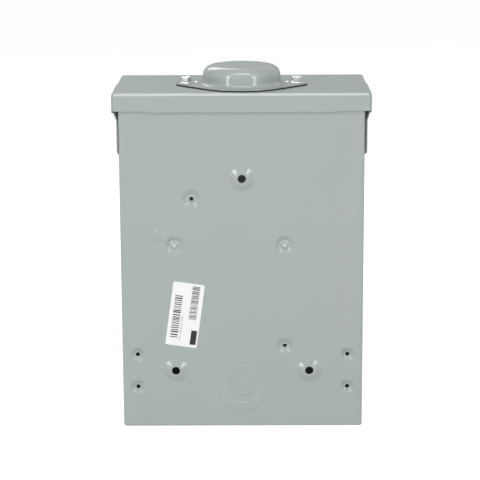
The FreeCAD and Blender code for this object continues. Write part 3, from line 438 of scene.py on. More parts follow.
def place_in_mesh():
    """Leave the object at the origin, with its place in its mesh."""
    bpy.ops.object.transform_apply(location=True, rotation=True, scale=True)
    return bpy.context.object


# %% Picking by place
def pick(test, kind="faces"):
    """Select what passes the test, in edit mode. Returns how many were picked."""
    mesh = bpy.context.object.data
    shape = bmesh.from_edit_mesh(mesh)
    for items in (shape.faces, shape.edges, shape.verts):
        for item in items:
            item.select = False
    wanted = [item for item in getattr(shape, kind) if test(item)]
    for item in wanted:
        item.select_set(True)
    bmesh.update_edit_mesh(mesh)
    return len(wanted)


def near(first, second, slack=0.05 * MM):
    return abs(first - second) < slack


def centre_of(item):
    """The middle of an edge or a face."""
    return sum((v.co for v in item.verts), Vector()) / len(item.verts)


def delete_faces(test):
    pick(test)
    bpy.ops.mesh.delete(type="FACE")


def bevel_edges(test, width, segments):
    count = pick(test, "edges")
    bpy.ops.mesh.bevel(offset=width, segments=segments, affect="EDGES")
    return count


def add_box(name, low, high):
    """A box between two corners, with its place in its mesh."""
    deselect_all()
    low, high = Vector(low), Vector(high)
    bpy.ops.mesh.primitive_cube_add(size=1, location=(low + high) / 2, scale=high - low)
    piece = place_in_mesh()
    piece.name = name
    return piece


# %% Modifiers, joining and placing
def apply_modifier(piece, kind, **settings):
    only(piece)
    modifier = piece.modifiers.new(kind.lower(), kind)
    for name, value in settings.items():
        setattr(modifier, name, value)
    bpy.ops.object.modifier_apply(modifier=modifier.name)


def thicken(piece, thick=SHEET):
    """Give an open sheet its wall, inwards from the modelled outer face."""
    apply_modifier(piece, "SOLIDIFY", thickness=thick, offset=-1, use_even_offset=True)


def subtract(piece, *tools):
    for tool in tools:
        apply_modifier(piece, "BOOLEAN", operation="DIFFERENCE", object=tool, solver="EXACT")
        bpy.data.objects.remove(tool)


def soften(piece, width, segments, angle):
    """Round the edges that are sharper than an angle."""
    apply_modifier(piece, "BEVEL", width=width, segments=segments, limit_method="ANGLE",
                   angle_limit=math.radians(angle), use_clamp_overlap=True)


def shade(piece, angle=32):
    """Smooth shading that keeps folds crisp and large flat faces flat."""
    only(piece)
    bpy.ops.object.shade_smooth_by_angle(angle=math.radians(angle))
    apply_modifier(piece, "WEIGHTED_NORMAL", keep_sharp=True, weight=100)


def join(name, pieces):
    only(pieces[0])
    for piece in pieces[1:]:
        piece.select_set(True)
    bpy.ops.object.join()
    bpy.context.object.name = name
    return bpy.context.object


def copy_moved(piece, offset):
    """A copy with a mesh of its own, its place in that mesh."""
    only(piece)
    bpy.ops.object.duplicate()
    bpy.ops.transform.translate(value=offset)
    return place_in_mesh()


def settle(piece, material, *nodes):
    """Give a finished piece its material and its place in the assembly."""
    piece.data.materials.clear()
    piece.data.materials.append(material)
    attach(piece, body_of[nodes[0]])
    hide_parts(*nodes)
    print(piece.name, len(piece.data.vertices), "vertices")


# %% [markdown]
# ## Round shapes drawn in sheet metal
# A boss, a dimple, the cap and the meter collar are all a circle that a press has drawn in or out
# ring by ring. In edit mode that is one circle, extruded and scaled for each ring of its profile.
# The same circle, filled and extruded, is the punch that opens the flat sheet for it, so their
# points meet exactly and the two can be merged into one clean sheet.

# %% Drawing rings
FACING = {"wall": (-math.pi / 2, 0, 0), "front": (math.pi / 2, 0, 0), "up": (0, 0, 0),
          "down": (math.pi, 0, 0)}
X, Y, Z = Vector((1, 0, 0)), Vector((0, 1, 0)), Vector((0, 0, 1))
NORMAL = {"wall": Y, "front": -Y, "up": Z, "down": -Z}


def add_circle(centre, radius, facing, sides, fill="NOTHING"):
    deselect_all()
    bpy.ops.mesh.primitive_circle_add(vertices=sides, radius=radius, fill_type=fill,
                                      location=centre, rotation=FACING[facing])
    return place_in_mesh()


def in_mm(rings):
    return [(radius * MM, height * MM) for radius, height in rings]


def drawn_ring(name, centre, profile, facing, sides, closed=False):
    """Extrude and scale a circle along a profile of (radius, height) pairs, from its rim."""
    centre = Vector(centre)
    ring = add_circle(centre + NORMAL[facing] * profile[0][1], profile[0][0], facing, sides)
    ring.name = name
    edit(ring, "VERT")
    select_mesh()
    for (radius, height), (wider, lower) in zip(profile[1:], profile):
        step = NORMAL[facing] * (height - lower)
        bpy.ops.mesh.extrude_edges_move(TRANSFORM_OT_translate={"value": step})
        scale = radius / wider
        bpy.ops.transform.resize(value=(scale, scale, scale),
                                 center_override=centre + NORMAL[facing] * height)
    if closed:
        bpy.ops.mesh.edge_face_add()
    leave()
    face_towards(ring, facing)
    return ring


def face_towards(piece, facing):
    """Turn the faces of an open sheet so that they look the given way."""
    edit(piece)
    face_outwards()
    shape = bmesh.from_edit_mesh(piece.data)
    towards = sum(face.normal.dot(NORMAL[facing]) * face.calc_area() for face in shape.faces)
    if towards < 0:
        bpy.ops.mesh.flip_normals()
    leave()


# %% Setting rings into a sheet
def add_punch(centre, radius, facing, sides, reach=8 * MM):
    """A round punch through the sheet, with the same corners as a drawn ring."""
    punch = add_circle(Vector(centre) - NORMAL[facing] * reach, radius, facing, sides, "NGON")
    edit(punch)
    extrude_all(NORMAL[facing] * reach * 2)
    leave()
    return punch


def set_into(sheet, ring, centre, radius, facing, sides):
    """Open a sheet at a circle, put the drawn ring there, and merge the two into one skin."""
    subtract(sheet, add_punch(centre, radius, facing, sides))
    sheet = join(sheet.name, [sheet, ring])
    axis = NORMAL[facing]

    def on_rim(vertex):
        arm = vertex.co - Vector(centre)
        return near((arm - axis * arm.dot(axis)).length, radius, 0.02 * MM)

    edit(sheet)
    pick(lambda face: all(on_rim(v) for v in face.verts) and abs(face.normal.dot(axis)) < 0.2)
    bpy.ops.mesh.delete(type="ONLY_FACE")
    pick(on_rim, "verts")
    bpy.ops.mesh.remove_doubles(threshold=0.01 * MM)
    leave()
    return sheet


# %% Ring profiles
EASE = 0.16


def soft_slope(outer, inner, rise, steps=12, lead=0.25 * MM):
    """A flat lead, then a straight cone that curves out of the sheet and into the land."""
    rings = [(outer, 0)]
    for step in range(steps + 1):
        share = step / steps
        if share < EASE:
            height = share * share / (2 * EASE)
        elif share > 1 - EASE:
            height = 1 - EASE - (1 - share) ** 2 / (2 * EASE)
        else:
            height = share - EASE / 2
        radius = outer - lead + (inner - outer + lead) * share
        rings.append((radius, rise * height / (1 - EASE)))
    return rings


def arc_rings(centre_radius, centre_height, radius, start, end, steps):
    """The part of a profile that runs round a quarter bend."""
    rings = []
    for step in range(steps + 1):
        angle = math.radians(start + (end - start) * step / steps)
        rings.append((centre_radius + radius * math.cos(angle),
                      centre_height + radius * math.sin(angle)))
    return rings


# %% [markdown]
# ## The box
# The shell is one folded sheet. It starts as a box without a top, the front face is cut into a
# frame that stays as the return, the folds are bevelled, and only then does it get its thickness.
# The bosses and dimples of the list are then set into the back one by one.

# %% Box shell
SIDE_RETURN = 14 * MM
BOTTOM_LIP = 25 * MM


def make_shell():
    shell = add_box("body_shell_sheet", (-SIDE, FRONT, 0), (SIDE, BACK, TOP))
    edit(shell)
    delete_faces(lambda face: near(face.normal.z, 1, 0.01))
    cuts = [((SIDE - SIDE_RETURN, 0, 0), (1, 0, 0)), ((SIDE_RETURN - SIDE, 0, 0), (1, 0, 0)),
            ((0, 0, BOTTOM_LIP), (0, 0, 1))]
    for place, normal in cuts:
        pick(lambda face: near(centre_of(face).y, FRONT) and abs(face.normal.y) > 0.9)
        bpy.ops.mesh.bisect(plane_co=place, plane_no=normal)
    delete_faces(lambda face: near(centre_of(face).y, FRONT)
                 and abs(centre_of(face).x) < SIDE - SIDE_RETURN
                 and centre_of(face).z > BOTTOM_LIP)

    def is_fold(edge):
        middle = centre_of(edge)
        upright = abs(edge.verts[0].co.z - edge.verts[1].co.z) > 10 * MM
        at_side = near(abs(middle.x), SIDE)
        at_end = near(middle.y, FRONT) or near(middle.y, BACK)
        return near(middle.z, 0) or (upright and at_side and at_end)

    folds = bevel_edges(is_fold, BEND, 6)
    leave()
    thicken(shell)
    print("folded edges", folds)
    return shell


# %% Presses of the back
COLLARED = ("spare_high", "pan_dimple_left", "pan_dimple_right")
COLLAR_RISE = 0.9 * MM
PRESS_SIDES = 48


def press_back(shell):
    """Press every boss and dimple of the list into the back. Some holes get a raised collar."""
    for name, (across, up, outer, land, hole, rise) in PRESSED.items():
        centre = Vector((across * MM, BACK, up * MM))
        rings = soft_slope(outer * MM, land * MM, rise * MM)
        if name in COLLARED:
            lifted = soft_slope((land - 0.3) * MM, (hole + 0.7) * MM, COLLAR_RISE, 6,
                                lead=0.1 * MM)
            rings += [(radius, rise * MM + height) for radius, height in lifted]
            rings.append((hole * MM, rise * MM + COLLAR_RISE))
        else:
            rings.append(((hole or 0.5) * MM, rise * MM))
        ring = drawn_ring(name, centre, rings, "wall", PRESS_SIDES, closed=not hole)
        thicken(ring)
        shell = set_into(shell, ring, centre, outer * MM, "wall", PRESS_SIDES)
    return shell


shell = press_back(make_shell())
print("shell with its presses", len(shell.data.vertices), "vertices")

# %% [markdown]
# ## Painted shade in the spare hole
# One collared hole carries no screw. A near-black dish sits in it as painted shade, standing in
# for the dark inside behind the hole. It is a shallow dish: a drawn ring whose last circle is
# filled, then thickened. No node stands for it, so it only rides with the box.

# %% Dish of painted shade
SHADE_DISH_THICK = 0.7 * MM


def shade_spare_hole():
    # A near-black dish of painted shade in the spare hole, for the dark inside behind it.
    across, up, _, _, hole, rise = PRESSED["spare_high"]
    profile = in_mm([(hole - 0.03, rise + 0.1), (1.5, rise - 0.05), (0.7, rise - 0.15)])
    shade_dish = drawn_ring("spare_hole_painted_shade", (across * MM, BACK, up * MM), profile, "wall", 32, True)
    thicken(shade_dish, SHADE_DISH_THICK)
    shade(shade_dish)
    shade_dish.data.materials.append(rubber)
    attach(shade_dish, "enclosure")
    print(shade_dish.name, len(shade_dish.data.vertices), "vertices")


shade_spare_hole()

# %% [markdown]
# ## Knockouts
# Half-sheared rings let an electrician punch out one size or the next. The press leaves each ring
# standing a little proud or low and tilted, held by hidden ties, so a rim catches the light on
# one side and is shaded on the other. The circles don't share a centre. Each ring of the sheet is
# bridged between two circles that lie on the ring's own tilted plane, and a narrow slope joins it
# to the next. A thin flat border on each side of the slope keeps the wide faces evenly shaded.

# %% Rings of the back and the floor
# radius, height of its middle, and how far the ring inside it stands out at the circle's top and
# at its bottom, in millimetres
BACK_RINGS = [(28.5, 46.4, 0.05, 0.6), (21.8, 50.1, 0.5, 0.05), (17.4, 53.4, 0.55, 0.6),
              (13.6, 53.2, 0.05, 0.05)]
FLOOR_RINGS = [(32, 0, -0.5, -0.5), (25, 0, 0, 0), (17.5, 0, -0.5, -0.5)]
FLOOR_KNOCK_AT = Vector((0, BACK - 66 * MM, 0))
SHEAR, BORDER = 0.3, 0.12
KNOCK_SIDES = 96


def knock_circle(facing, middle, radius, stand):
    """One circle of a knockout. stand(share) is its height at a share of the way to its top."""
    circle = add_circle(middle, radius, facing, KNOCK_SIDES)
    for vertex in circle.data.vertices:
        arm = vertex.co - Vector(middle)
        reach = arm.z if facing == "wall" else arm.y
        vertex.co += NORMAL[facing] * stand(reach / radius)
    return circle


# %% Building the knockouts
def make_knockout(name, rings, facing, spot):
    """One skin of tilted rings. A circle's middle lies at spot(height)."""
    circles = []
    outside = (0, 0)
    for radius, up, top, bottom in rings:
        for grow, (high, low) in ((SHEAR + BORDER, outside), (SHEAR, outside),
                                  (-SHEAR, (top, bottom)), (-SHEAR - BORDER, (top, bottom))):
            def stand(share, high=high, low=low):
                return ((high + low) / 2 + (high - low) / 2 * share) * MM
            circles.append(knock_circle(facing, spot(up), (radius + grow) * MM, stand))
        outside = (top, bottom)
    skins = []
    for number, pair in enumerate(zip(circles, circles[1:])):
        skin = join(f"{name}_{number}", [copy_moved(circle, (0, 0, 0)) for circle in pair])
        edit(skin, "EDGE")
        select_mesh()
        bpy.ops.mesh.bridge_edge_loops()
        leave()
        skins.append(skin)
    middle = circles[-1]
    edit(middle, "EDGE")
    select_mesh()
    bpy.ops.mesh.edge_face_add()
    leave()
    for circle in circles[:-1]:
        bpy.data.objects.remove(circle)
    knockout = join(name, [*skins, middle])
    edit(knockout, "VERT")
    select_mesh()
    bpy.ops.mesh.remove_doubles(threshold=0.004 * MM)
    leave()
    face_towards(knockout, facing)
    thicken(knockout)
    return knockout


def fit_knockout(shell, name, rings, facing, spot):
    knockout = make_knockout(name, rings, facing, spot)
    radius = (rings[0][0] + SHEAR + BORDER) * MM
    return set_into(shell, knockout, spot(rings[0][1]), radius, facing, KNOCK_SIDES)


shell = fit_knockout(shell, "back_knockout", BACK_RINGS, "wall",
                     lambda up: Vector((0, BACK, up * MM)))
shell = fit_knockout(shell, "floor_knockout", FLOOR_RINGS, "down", lambda up: FLOOR_KNOCK_AT)
print("shell with its knockouts", len(shell.data.vertices), "vertices")

# %% [markdown]
# ## The seal staple's slot
# The staple comes through the front lip in a slot, beside the two rivets that hold it. A box and
# two round punches open the lip for them, which the cover hides until it is tilted.

# %% Slot and rivet holes, and the shell's finish
staple_low, staple_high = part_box("seal_staple")
STAPLE_SIDES = (46 * MM, 48 * MM)
SLIP = 0.15 * MM
LIP_CUT = 4 * MM
RIVET_PLACES = (54.25 * MM, 62.5 * MM)
RIVET_UP, RIVET_HOLE = 15 * MM, 1.775 * MM
slot = add_box("slot", (STAPLE_SIDES[0] - SLIP, FRONT - LIP_CUT, staple_low.z - SLIP),
               (STAPLE_SIDES[1] + SLIP, FRONT + LIP_CUT, staple_high.z + SLIP))
punches = [add_punch((across, FRONT, RIVET_UP), RIVET_HOLE, "front", 24, LIP_CUT)
           for across in RIVET_PLACES]
subtract(shell, slot, *punches)
shade(shell)
settle(shell, paint, "body_shell")

# %% [markdown]
# ## The hood
# The hood is a second folded sheet: a top, a short rear lip, a front lip, and side skirts that
# sweep down into two ears at the front. It is easiest as a whole box that is thickened first, and
# then trimmed with cutters whose outlines are the real edges. Where an ear begins, folding has
# pulled the side in a little and left a crease in the top.

# %% Cutters from an outline
AXES = {"x": (Y, Z, X), "y": (X, Z, Y), "z": (X, Y, Z)}


def add_outline(name, points, axis, start):
    """A flat outline: a filled circle of as many corners, each corner moved to its place."""
    across, up, along = AXES[axis]
    deselect_all()
    bpy.ops.mesh.primitive_circle_add(vertices=len(points), radius=1 * MM, fill_type="NGON")
    piece = bpy.context.object
    piece.name = name
    for vertex, (first, second) in zip(piece.data.vertices, points):
        vertex.co = across * first + up * second + along * start
    return piece


def add_prism(name, points, axis, start, end):
    piece = add_outline(name, points, axis, start)
    edit(piece)
    extrude_all(AXES[axis][2] * (end - start))
    leave()
    return piece


# %% Rounded corners for an outline
CORNER_STEPS = 12


def rounded(before, corner, after, radius):
    """Points along the round of one corner of an outline."""
    before, corner, after = Vector(before), Vector(corner), Vector(after)
    back, on = (before - corner).normalized(), (after - corner).normalized()
    half = back.angle(on) / 2
    centre = corner + (back + on).normalized() * (radius / math.sin(half))
    first = corner + back * (radius / math.tan(half)) - centre
    last = corner + on * (radius / math.tan(half)) - centre
    points = []
    for step in range(CORNER_STEPS + 1):
        share = step / CORNER_STEPS
        arm = first.slerp(last, share, first).normalized() * radius
        points.append(tuple(centre + arm))
    return points


# %% Hood sheet
HOOD_SIDE = hood_high.x
HOOD_BACK = hood_high.y
HOOD_FRONT = hood_low.y
REAR_CORNER = 6 * MM
FRONT_CORNER = 5 * MM
EAR_LOW = hood_low.z
CREASE = (BACK - 74 * MM, BACK - 80 * MM)
PULL = 1.3 * MM


def make_hood():
    hood = add_box("hood_sheet", (-HOOD_SIDE, HOOD_FRONT, EAR_LOW),
                   (HOOD_SIDE, HOOD_BACK, ROOF))
    edit(hood)
    delete_faces(lambda face: near(face.normal.z, -1, 0.01))

    def upright(edge, y):
        return (near(centre_of(edge).y, y) and near(abs(centre_of(edge).x), HOOD_SIDE)
                and abs(edge.verts[0].co.z - edge.verts[1].co.z) > MM)

    bevel_edges(lambda edge: upright(edge, HOOD_BACK), REAR_CORNER, 7)
    bevel_edges(lambda edge: upright(edge, HOOD_FRONT), FRONT_CORNER, 5)
    bevel_edges(lambda edge: all(near(v.co.z, ROOF) for v in edge.verts)
                and len(edge.link_faces) == 2
                and any(abs(face.normal.z) < 0.5 for face in edge.link_faces), BEND, 5)
    select_mesh()
    bpy.ops.mesh.remove_doubles(threshold=0.1 * MM)
    for place in CREASE:
        select_mesh()
        bpy.ops.mesh.bisect(plane_co=(0, place, 0), plane_no=(0, 1, 0))
    for side in (-1, 1):
        pick(lambda vertex: vertex.co.x * side > HOOD_SIDE - BEND - 0.01 * MM
             and vertex.co.y < CREASE[1] + 0.01 * MM, "verts")
        bpy.ops.transform.translate(value=(-side * PULL, 0, 0))
    leave()
    thicken(hood)
    return hood


# %% Hood trimmed to its edges
REAR_LIP = 20.65 * MM
LIP_NOTCH = 1.2 * MM
LIP_HALF = 104 * MM
FRONT_LIP = 18 * MM
SKIRT = 21.5 * MM
SWEEP_TOP = 41 * MM
SWEEP_ROUND = 86.4 * MM
EAR_BACK = BACK - 72 * MM
EAR_ROUND = 9 * MM
EAR_FOOT = EAR_BACK - 20 * MM
HUB_HOLE, HUB_SIDES = 36 * MM, 72
SCREW_HOLE, SCREW_SIDES = 3.15 * MM, 24
PLATE_REACH = 62 * MM


def screw_punches(up):
    """Punches for the two screws, one at each side of the hub."""
    return [add_punch((side * PLATE_REACH, HUB.y, up), SCREW_HOLE, "up", SCREW_SIDES)
            for side in (-1, 1)]


def trim_hood(hood):
    """Cut the skirts, the open front, the rear lip's long edge and the hub's holes."""
    wide, low = HOOD_SIDE * 1.2, EAR_LOW - 20 * MM
    skirt = ROOF - SKIRT
    rear = HOOD_BACK + 4 * MM
    knee = (BACK - 21.6 * MM, skirt - 2 * MM)
    sweep = (EAR_BACK, ROOF - SWEEP_TOP)
    ear = (EAR_BACK, EAR_LOW)
    foot = (EAR_FOOT, EAR_LOW)
    side_cut = [(rear, skirt), *rounded((rear, skirt), knee, sweep, SWEEP_ROUND), sweep,
                *rounded(sweep, ear, foot, EAR_ROUND), foot, (EAR_FOOT, low), (rear, low)]
    lip, high = ROOF - REAR_LIP, ROOF - REAR_LIP + LIP_NOTCH
    rear_cut = [(-wide, high), (-LIP_HALF - LIP_NOTCH, high), (-LIP_HALF, lip), (LIP_HALF, lip),
                (LIP_HALF + LIP_NOTCH, high), (wide, high), (wide, low), (-wide, low)]
    front_cut = add_box("front_cut", (-wide, HOOD_FRONT - 5 * MM, low),
                        (wide, HOOD_FRONT + BEND + 0.5 * MM, ROOF - FRONT_LIP))
    subtract(hood, add_prism("side_cut", side_cut, "x", -wide, wide),
             add_prism("rear_cut", rear_cut, "y", BACK - 2.5 * MM, rear), front_cut)
    subtract(hood, add_punch((HUB.x, HUB.y, ROOF), HUB_HOLE, "up", HUB_SIDES),
             *screw_punches(ROOF))
    return hood


# %% [markdown]
# ## Painted highlight on the hood's bend
# The bend over the rear lip is painted paler, a painted highlight for the light it catches. On
# that bend y and z are both near their largest, so their sum picks it out, with no map of the
# surface needed.

# %% Paint with a painted highlight
# The colour of the painted highlight on the hood's rear bend.
BEND_HIGHLIGHT_COLOUR = (0.58, 0.64, 0.61, 1)


def paint_bend_highlight(coat):
    """Painted highlight: lighten the paint where Object y and z together lie on the bend over the
    rear lip.
    """
    tree = coat.node_tree
    colour = tree.nodes["Principled BSDF"].inputs["Base Color"]
    place = add_node(tree, "ShaderNodeTexCoord")
    split = add_node(tree, "ShaderNodeSeparateXYZ")
    wire(place.outputs["Object"], split.inputs[0])
    total = calc(tree, "ADD", split.outputs["Y"], split.outputs["Z"])
    top = HOOD_BACK + ROOF
    highlight_mask = remap(tree, total, From_Min=top - BEND, From_Max=top - BEND * 0.7)
    mix = add_node(tree, "ShaderNodeMix", data_type="RGBA")
    mix.inputs["B"].default_value = BEND_HIGHLIGHT_COLOUR
    wire(highlight_mask, mix.inputs["Factor"])
    wire(colour.links[0].from_socket, mix.inputs["A"])
    wire(mix.outputs["Result"], colour)


# The hood's coat carries a painted highlight on its rear bend.
hood_coat_with_highlight = powder_coat("hood_coat_painted_highlight")
paint_bend_highlight(hood_coat_with_highlight)
hood = trim_hood(make_hood())
soften(hood, 0.3 * MM, 2, 60)
shade(hood)
settle(hood, hood_coat_with_highlight, "hood")

# %% [markdown]
# ## Hub closure
# Until a conduit hub is fitted, a drawn cap on a flat plate closes the hole in the hood, over a
# rubber gasket. The plate's outline is one big round joined to two small ones by tangent lines.
# The outline has as many points as the rings of the cap, so the outermost ring of the cap can be
# spread out to it, corner by corner.

# %% Plate outline
PLATE_ROUND, PLATE_TIP = 56 * MM, 11 * MM
ARC_STEPS = 24


def plate_outline(grow=0.0):
    """Four arcs that meet along tangent lines, as points around the hub's middle."""
    tangent = math.acos((PLATE_ROUND - PLATE_TIP) / PLATE_REACH)
    arcs = [(0, PLATE_ROUND, tangent, math.pi - tangent),
            (-PLATE_REACH, PLATE_TIP, math.pi - tangent, math.pi + tangent),
            (0, PLATE_ROUND, math.pi + tangent, TURN - tangent),
            (PLATE_REACH, PLATE_TIP, -tangent, tangent)]
    points = []
    for centre, radius, start, end in arcs:
        for step in range(ARC_STEPS):
            angle = start + (end - start) * step / (ARC_STEPS - 1)
            points.append((centre + (radius + grow) * math.cos(angle),
                           HUB.y + (radius + grow) * math.sin(angle)))
    return points


def spread_rim(piece, radius):
    """Move the outermost ring of a piece from its circle out to the plate's outline."""
    def angle_at_hub(point):
        return math.atan2(point[1] - HUB.y, point[0])

    rim = [vertex for vertex in piece.data.vertices
           if near((vertex.co - HUB).xy.length, radius, 0.02 * MM)]
    rim.sort(key=lambda vertex: angle_at_hub(vertex.co))
    for vertex, point in zip(rim, sorted(plate_outline(), key=angle_at_hub), strict=True):
        vertex.co.x, vertex.co.y = point


def ring_at_hub(name, profile, base, closed):
    """A ring around the hub whose first circle is drawn out to the plate's two tips."""
    ring = drawn_ring(name, (0, HUB.y, base), profile, "up", 4 * ARC_STEPS, closed)
    spread_rim(ring, profile[0][0])
    return ring


print("plate outline", len(plate_outline()), "points")

# %% Gasket
# How far the black gasket stands out round the plate: partly real rubber, partly painted shade for
# the plate's shadow.
GASKET_SWELL_AND_SHADE = 0.5 * MM


def make_gasket():
    """The gasket stands a little out round the plate's edge: partly the real rubber, partly a
    black rim of painted shade for the shadow under the plate's edge.
    """
    gasket = add_prism("hub_gasket_sheet", plate_outline(GASKET_SWELL_AND_SHADE), "z", gasket_low.z,
                       gasket_high.z + GASKET_SWELL_AND_SHADE)
    subtract(gasket, add_punch(HUB, HUB_HOLE, "up", HUB_SIDES))
    soften(gasket, 0.45 * MM, 3, 60)
    shade(gasket)
    settle(gasket, rubber, "hub_gasket")


make_gasket()

# %% Closure plate with its drawn cap
PLATE_FACE = gasket_high.z + SHEET
CAP_RADIUS, CAP_FOOT, CAP_ROUND = 43.4, 4.5, 11.4


def make_cap():
    height = (plate_high.z - PLATE_FACE) / MM
    rings = [(PLATE_ROUND / MM, 0), (CAP_RADIUS + CAP_FOOT + 2, 0)]
    rings += arc_rings(CAP_RADIUS + CAP_FOOT, CAP_FOOT, CAP_FOOT, 270, 180, 7)
    rings += arc_rings(CAP_RADIUS - CAP_ROUND, height - CAP_ROUND, CAP_ROUND, 0, 86, 11)
    rings += [(25, height - 0.12), (18, height - 0.05), (9, height), (2, height)]
    plate = ring_at_hub("hub_closure_sheet", in_mm(rings), PLATE_FACE, True)
    thicken(plate)
    subtract(plate, *screw_punches(PLATE_FACE))
    soften(plate, 0.35 * MM, 3, 60)
    shade(plate, 38)
    settle(plate, paint, "hub_closure_plate")


make_cap()

# %% [markdown]
# ## Screws and rivets of the hub
# A hex washer head is one forging: a flange that swells into six flats with a chamfered top. Both
# screws are the same, so one is modelled and copied. The small rivet heads are domes.

# %% Hex washer screws
FLANGE_RINGS = [(3, -14), (3, 0), (6.3, 0), (6.6, 0.3), (6.5, 0.9), (5.6, 1.4), (4, 1.5),
                (0.5, 1.5)]
HEAD_RADIUS, HEAD_TALL, HEAD_TOP = 5.9 * MM, 6 * MM, 7.4 * MM
HEAD_TURN = math.radians(17)
CHAMFER_WIDE, CHAMFER_DROP = 0.9 * MM, 0.55 * MM
DISH_WIDE, DISH_DEEP = 0.8 * MM, 0.35 * MM


def fill_open_end(piece):
    """Close the open end of a drawn ring and turn its faces outwards."""
    edit(piece, "EDGE")
    pick(lambda edge: len(edge.link_faces) < 2, "edges")
    bpy.ops.mesh.edge_face_add()
    face_outwards()
    leave()


def make_hex_head(place):
    """Six flats with a chamfered rim and a shallow dish in the top."""
    deselect_all()
    middle = place + Vector((0, 0, HEAD_TOP - HEAD_TALL / 2))
    bpy.ops.mesh.primitive_cylinder_add(vertices=6, radius=HEAD_RADIUS, depth=HEAD_TALL,
                                        location=middle, rotation=(0, 0, HEAD_TURN))
    head = place_in_mesh()
    top = place.z + HEAD_TOP
    edit(head)
    pick(lambda face: near(centre_of(face).z, top))
    bpy.ops.mesh.inset(thickness=CHAMFER_WIDE)
    pick(lambda face: near(centre_of(face).z, top, 0.3 * MM) and abs(face.normal.z) > 0.9
         and len(face.verts) == 6)
    bpy.ops.mesh.inset(thickness=DISH_WIDE, depth=-DISH_DEEP)
    pick(lambda vertex: near(vertex.co.z, top) and (vertex.co - place).xy.length > 5.5 * MM,
         "verts")
    bpy.ops.transform.translate(value=(0, 0, -CHAMFER_DROP))
    leave()
    return head


def make_hub_screws():
    place = Vector((-PLATE_REACH, HUB.y, PLATE_FACE))
    flange = drawn_ring("flange", place, in_mm(FLANGE_RINGS), "up", 40, True)
    fill_open_end(flange)
    screw = join("hub_screws", [flange, make_hex_head(place)])
    soften(screw, 0.22 * MM, 2, 28)
    other = copy_moved(screw, (PLATE_REACH * 2, 0, 0))
    screws = join("hub_screws", [screw, other])
    shade(screws, 30)
    settle(screws, zinc, "hub_plate_screws")


make_hub_screws()

# %% Rivet heads
RIVET_REACH, RIVET_BACK = 51.1 * MM, 68 * MM
RIVET_HEAD, RIVET_RIM, RIVET_DOME, DOME_STEPS = 2.1 * MM, 0.3 * MM, 1 * MM, 6


def make_rivets():
    rings = [(RIVET_HEAD, 0)]
    for step in range(DOME_STEPS):
        angle = math.pi / 2 * step / DOME_STEPS
        rings.append((RIVET_HEAD * math.cos(angle), RIVET_DOME * math.sin(angle) + RIVET_RIM))
    heads = [drawn_ring("rivet", (across, BACK - RIVET_BACK, PLATE_FACE), rings, "up", 28, True)
             for across in (-RIVET_REACH, RIVET_REACH)]
    rivets = join("hub_rivets", heads)
    shade(rivets, 60)
    settle(rivets, zinc, "hub_plate_rivets")


make_rivets()

# %% [markdown]
# ## The label
# A paper label sits a little askew on the back, with its corners rounded and one edge not quite
# stuck down. Its print is generic: two ladders of bars, a column of ticks and a black block. The
# print is thin raised ink, so it is geometry too, drawn from a seeded list of widths.

# %% The label's place
LABEL_WIDE, LABEL_TALL, LABEL_THICK = 35.5 * MM, 73.6 * MM, 0.2 * MM
LABEL_AT = (64.2 * MM, 131.3 * MM)
LABEL_TURN = math.radians(8)
CURL_START, CURL_LIFT = 0.55, 9 * MM


def on_label(point, lift):
    """A point of the label, from the viewer's left and up, as a place on the back."""
    left, up = point
    right = left * math.cos(LABEL_TURN) + up * math.sin(LABEL_TURN)
    high = up * math.cos(LABEL_TURN) - left * math.sin(LABEL_TURN)
    return Vector((LABEL_AT[0] - right, BACK + lift, LABEL_AT[1] + high))


def label_curl(point):
    """How far the paper stands off the sheet: its top corner has lifted."""
    left, up = point[0] / LABEL_WIDE, point[1] / LABEL_TALL
    lifted = max(0.0, left + up * 0.7 - CURL_START)
    return LABEL_THICK + lifted * lifted * CURL_LIFT


def lay_on_label(piece, lift):
    """Wrap a flat piece, drawn in the label's own plane, onto the label's place and curl."""
    for vertex in piece.data.vertices:
        point = (vertex.co.x, vertex.co.y)
        vertex.co = on_label(point, label_curl(point) + lift)


# %% Label paper
LABEL_CORNER = 1.6 * MM
PAPER_THICK = 0.15 * MM


def make_label():
    deselect_all()
    bpy.ops.mesh.primitive_grid_add(x_subdivisions=16, y_subdivisions=32, size=1)
    label = bpy.context.object
    label.scale = (LABEL_WIDE, LABEL_TALL, 1)
    place_in_mesh()
    edit(label, "VERT")
    pick(lambda vertex: len(vertex.link_faces) == 1, "verts")
    bpy.ops.mesh.bevel(offset=LABEL_CORNER, segments=4, affect="VERTICES")
    leave()
    lay_on_label(label, 0)
    face_towards(label, "wall")
    thicken(label, PAPER_THICK)
    label.name = "label_sheet"
    shade(label, 40)
    settle(label, paper, "rear_label")


make_label()

# %% Label print
# left, right, top and bottom in shares of the label, and the thinnest and thickest bar
LADDERS = [(0.12, 0.355, 0.21, 0.885, 0.009, 0.022), (0.63, 0.865, 0.04, 0.56, 0.005, 0.014)]
BLOCK = (0.765, 0.73, 0.95, 0.955)
TICKS, TICK_LEFT, TICK_TOP, TICK_PITCH, TICK_TALL = 26, 0.4, 0.52, 0.0155, 0.004
TICK_WIDTHS = (0.02, 0.07)
INK_LIFT, INK_THICK = 0.02 * MM, 0.03 * MM


def share_box(left, top, right, bottom):
    """A rectangle given in shares of the label, from its top left corner, as corner points."""
    return [((s - 0.5) * LABEL_WIDE, (0.5 - t) * LABEL_TALL)
            for s, t in ((left, top), (right, top), (right, bottom), (left, bottom))]


def bar_ladder(dice, left, right, top, bottom, thin, thick):
    """Bars across a column, of random widths and gaps."""
    bars = []
    at = top
    while at < bottom:
        tall = dice.uniform(thin, thick)
        bars.append(share_box(left, at, right, min(at + tall, bottom)))
        at += tall + dice.uniform(thin, thick * 1.1)
    return bars


